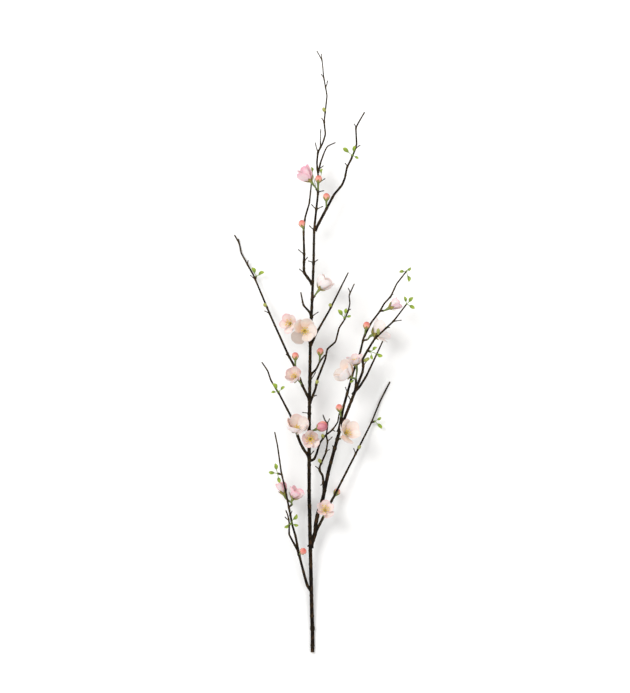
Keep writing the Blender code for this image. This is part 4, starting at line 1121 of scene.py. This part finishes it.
def leafShape(foot, centre, length, tilt, seed):
    # A thin stalk, then a folded, toothed blade that droops and curves to one side
    foot, centre = Vector(foot), Vector(centre)
    growth = (centre - foot).normalized()
    side = growth.cross(Vector((0, 0, 1))).normalized()
    side = Matrix.Rotation(radians(tilt), 3, growth) @ side
    upper = side.cross(growth)
    reach = (centre - foot).length
    bladeStart, bladeEnd = max(1.0, reach - length * leaf["back"]), reach + length * leaf["front"]
    stalkShare, sickle = leaf["stalkShare"], leaf["sickle"] * (1 if seed % 2 else -1)
    lengthwise, sideways = leaf["ripples"]

    def shape(v, share):
        if share < stalkShare:
            along, half, rise = bladeStart * share / stalkShare, leaf["stalkHalf"], leaf["stalkFold"]
        else:
            s = (share - stalkShare) / (1 - stalkShare)
            along = bladeStart + (bladeEnd - bladeStart) * s
            half = max(leaf["stalkHalf"], leaf["width"] * length / 2 * between(leaf["outline"], s))
            if abs(v) > 0.99 and s > leaf["toothFrom"]:
                half *= 1 - leaf["toothDepth"] * abs((s * leaf["teeth"]) % 1 - 0.5) * 2
            rise = leaf["fold"] + leaf["ripple"] * sin(lengthwise * s + seed + sideways * v)
        if share > stalkShare:
            bend = length * ((along - reach) / length) ** 2
        else:
            bend = length * leaf["stalkBend"] * (along / bladeStart) ** 2
        return (foot + growth * along + side * (half * v + bend * sickle)
                + upper * (half * abs(v) ** leaf["foldPower"] * rise - bend * leaf["droop"]))
    return shape


def makeTuft(name, on, seat, rows):
    start, leaving = seatOf(on, seat)
    foot = start + leaving * leaf["foot"]
    shapes = [(leafShape(foot, *row, int(name) + k), {}) for k, row in enumerate(rows)]
    parts = [knob(start, leaving, leaf["knob"]),
             sheets("leaves", shapes, leaf["grid"], leaf["thickness"])]
    piece = joined("leafTuft_" + name, parts)
    finishPiece(piece, leafTissue, ["leaves_" + name])


def makeSmallLeaves():
    # Single leaves beside two blossoms and the top bud
    shapes = []
    for node, rows in smallLeaves.items():
        key = node.split("_")[1]
        bloom = blooms.get(key)
        start, leaving = seatOf(*((bloom["on"], bloom["seat"]) if bloom else roundBuds[key][:2]))
        shapes += [(leafShape(start + leaving * leaf["foot"], *row, 3), {}) for row in rows]
    finishPiece(sheets("singleLeaves", shapes, leaf["grid"], leaf["thickness"]), leafTissue)


# Round buds and the big one: "polars" is where the sepals start and end on the ball
bud = {
    "petals": 5, "thickness": 0.4, "grid": (7, 9), "height": 1.05, "fold": (0.9, 1.75, 0.06),
    "core": (0.9, 0.9, 0.95), "sepalGap": (1.07, 1.1), "polars": (2.55, 1.35), "sepalWidth": 6.2,
    "sepalGrid": (4, 6), "ruddy": 0.3, "radius": 5.8, "girth": 1.58, "turnEach": 31, "sink": 0.5,
    "seedEach": 5.3,
    "sepal": ((0, 1.0), (0.3, 0.95), (0.6, 0.7), (0.85, 0.35), (1.0, 0.06)),
}
largeBud = {
    **bud, "thickness": 0.45, "grid": (8, 11), "height": 1.04, "fold": (0.7, 1.8, 0.07),
    "core": (0.88, 0.88, 0.93), "sepalGap": (1.05, 1.08), "polars": (2.85, 1.95), "sepalWidth": 7.0,
    "ruddy": 0.5, "radius": 8.9, "half": 9.5, "sit": 0.98, "turn": 20, "slit": 0.1, "seedEach": 2.1,
}


def huggingShape(centre, turn, radius, height, k, look):
    # A sepal that lies on the ball from its cup upwards
    radius, height = radius * look["sepalGap"][0], height * look["sepalGap"][1]
    low, high = look["polars"]

    def shape(v, share):
        polar = low + (high - low) * share
        azimuth = 2 * pi * (k + 0.5) / green["sepals"]
        azimuth += look["sepalWidth"] / 2 * between(look["sepal"], share) * v / radius
        reach = radius * sin(polar) ** folded["roundness"]
        return centre + turn @ around(azimuth, reach, height * cos(polar))
    return shape


def makeBud(names, node, centre, turn, half, look, tones, stalk):
    # Petals folded round a core, then a stalk with its cup, and sepals on the ball
    radius = look["radius"]
    shapes = [(foldedShape(centre, turn, radius, half * look["height"], look["petals"], k,
                           *look["fold"]), tones[k]) for k in range(look["petals"])]
    core = ball("core", centre, turn, [a * b for a, b in zip(look["core"], (radius, radius, half))])
    for key, value in tones[-1].items():
        setAttribute(core, key, value)
    petals = joined(names[0], [sheets("folded", shapes, look["grid"], look["thickness"]), core])
    finishPiece(petals, budTissue, [node])
    hugging = [(huggingShape(centre, turn, radius, half, k, look), {"ruddy": look["ruddy"] * (k % 3)})
               for k in range(green["sepals"])]
    cup = joined(names[1], [ribbedStalk(*stalk),
                            sheets("sepals", hugging, look["sepalGrid"], green["thickness"])])
    finishPiece(cup, calyxTissue)


def makeRoundBud(name, on, seat, centre):
    start, leaving = seatOf(on, seat)
    centre = Vector(centre)
    axis = (centre - start).normalized()
    base = centre - axis * bud["radius"] * bud["sink"]
    stalk = (start, leaving, {"base": base, "facing": axis, "roll": 0}, bud["girth"])
    tones = [{"lilac": 0.0, "seed": k + bud["seedEach"] * int(name)} for k in range(bud["petals"])]
    tones.append({"seed": 1.0})
    makeBud(("budBall_" + name, "budCup_" + name), "bud_" + name, centre,
            turnedTo(axis, bud["turnEach"] * int(name)), bud["radius"], bud, tones, stalk)


def makeBigBud():
    bloom = blooms[bigBud]
    start, leaving = seatOf(bloom["on"], bloom["seat"])
    turn = turnedTo(bloom["facing"], largeBud["turn"])
    centre = Vector(bloom["base"]) + turn.col[2] * largeBud["half"] * largeBud["sit"]
    tones = [{"lilac": tints[bigBud][2] if k else largeBud["slit"], "seed": largeBud["seedEach"] * k}
             for k in range(largeBud["petals"])]
    tones.append({"lilac": 0.0})
    makeBud(("bigBudBall", "bigBudCup"), "bud_big", centre, turn, largeBud["half"], largeBud, tones,
            (start, leaving, bloom))


for name, bloom in blooms.items():
    if name != bigBud:
        makePetals(name, bloom)
    if bloom["stamens"]:
        makeStamens(name, bloom)
print("blossoms made")
for names in greenGroups:
    makeGreenParts(names)
print("green parts made")
for name, row in leafTufts.items():
    makeTuft(name, *row)
makeSmallLeaves()
print("leaves made")
for name, row in roundBuds.items():
    makeRoundBud(name, *row)
makeBigBud()
print("buds made")


studio = {
    "floorSize": 12.0, "floorColour": (0.94, 0.935, 0.925), "sky": 0.72,
    "lights": [("key", (-1.3, 1.0, 2.1), 1.2, 40), ("fill", (1.4, -1.0, 2.0), 2.0, 16)],
    "lens": 200, "frameHeight": 36, "pixels": 693, "pixelSize": 1.8, "aim": (4.5, 533.7, 45),
}


def makeStudio():
    scene = bpy.context.scene
    scene.view_settings.view_transform = "Standard"
    bpy.ops.object.select_all(action="DESELECT")
    bpy.ops.mesh.primitive_plane_add(size=studio["floorSize"])
    floor = bpy.context.object
    floor.name = "floor"
    made, shader = newMaterial("paperFloor", 0.9)
    soft = placeGroup(mottle, Colour=studio["floorColour"], Scale=3.0, Amount=0.01)
    feed(shader["Base Color"], soft["Colour"])
    floor.data.materials.append(made)
    scene.world = bpy.data.worlds.new("studio")
    scene.world.use_nodes = True
    sky = scene.world.node_tree.nodes["Background"].inputs
    sky[0].default_value = (1, 1, 1, 1)
    sky[1].default_value = studio["sky"]
    for name, place, size, power in studio["lights"]:
        lamp = bpy.data.lights.new(name, "AREA")
        lamp.size, lamp.energy = size, power
        light = bpy.data.objects.new(name, lamp)
        light.location = place
        light.rotation_euler = (-Vector(place)).to_track_quat("-Z", "Y").to_euler()
        light.visible_camera = False
        scene.collection.objects.link(light)
    camera = bpy.data.cameras.new("camera")
    camera.lens = studio["lens"]
    camera.sensor_fit = "VERTICAL"
    camera.sensor_height = studio["frameHeight"]
    camera.clip_end = 50
    eye = bpy.data.objects.new("camera", camera)
    distance = studio["pixels"] * studio["pixelSize"] * 0.001 * studio["lens"] / studio["frameHeight"]
    eye.location = toRow(studio["aim"]) + Vector((0, 0, distance))
    scene.collection.objects.link(eye)
    scene.camera = eye


makeStudio()
print("studio made")
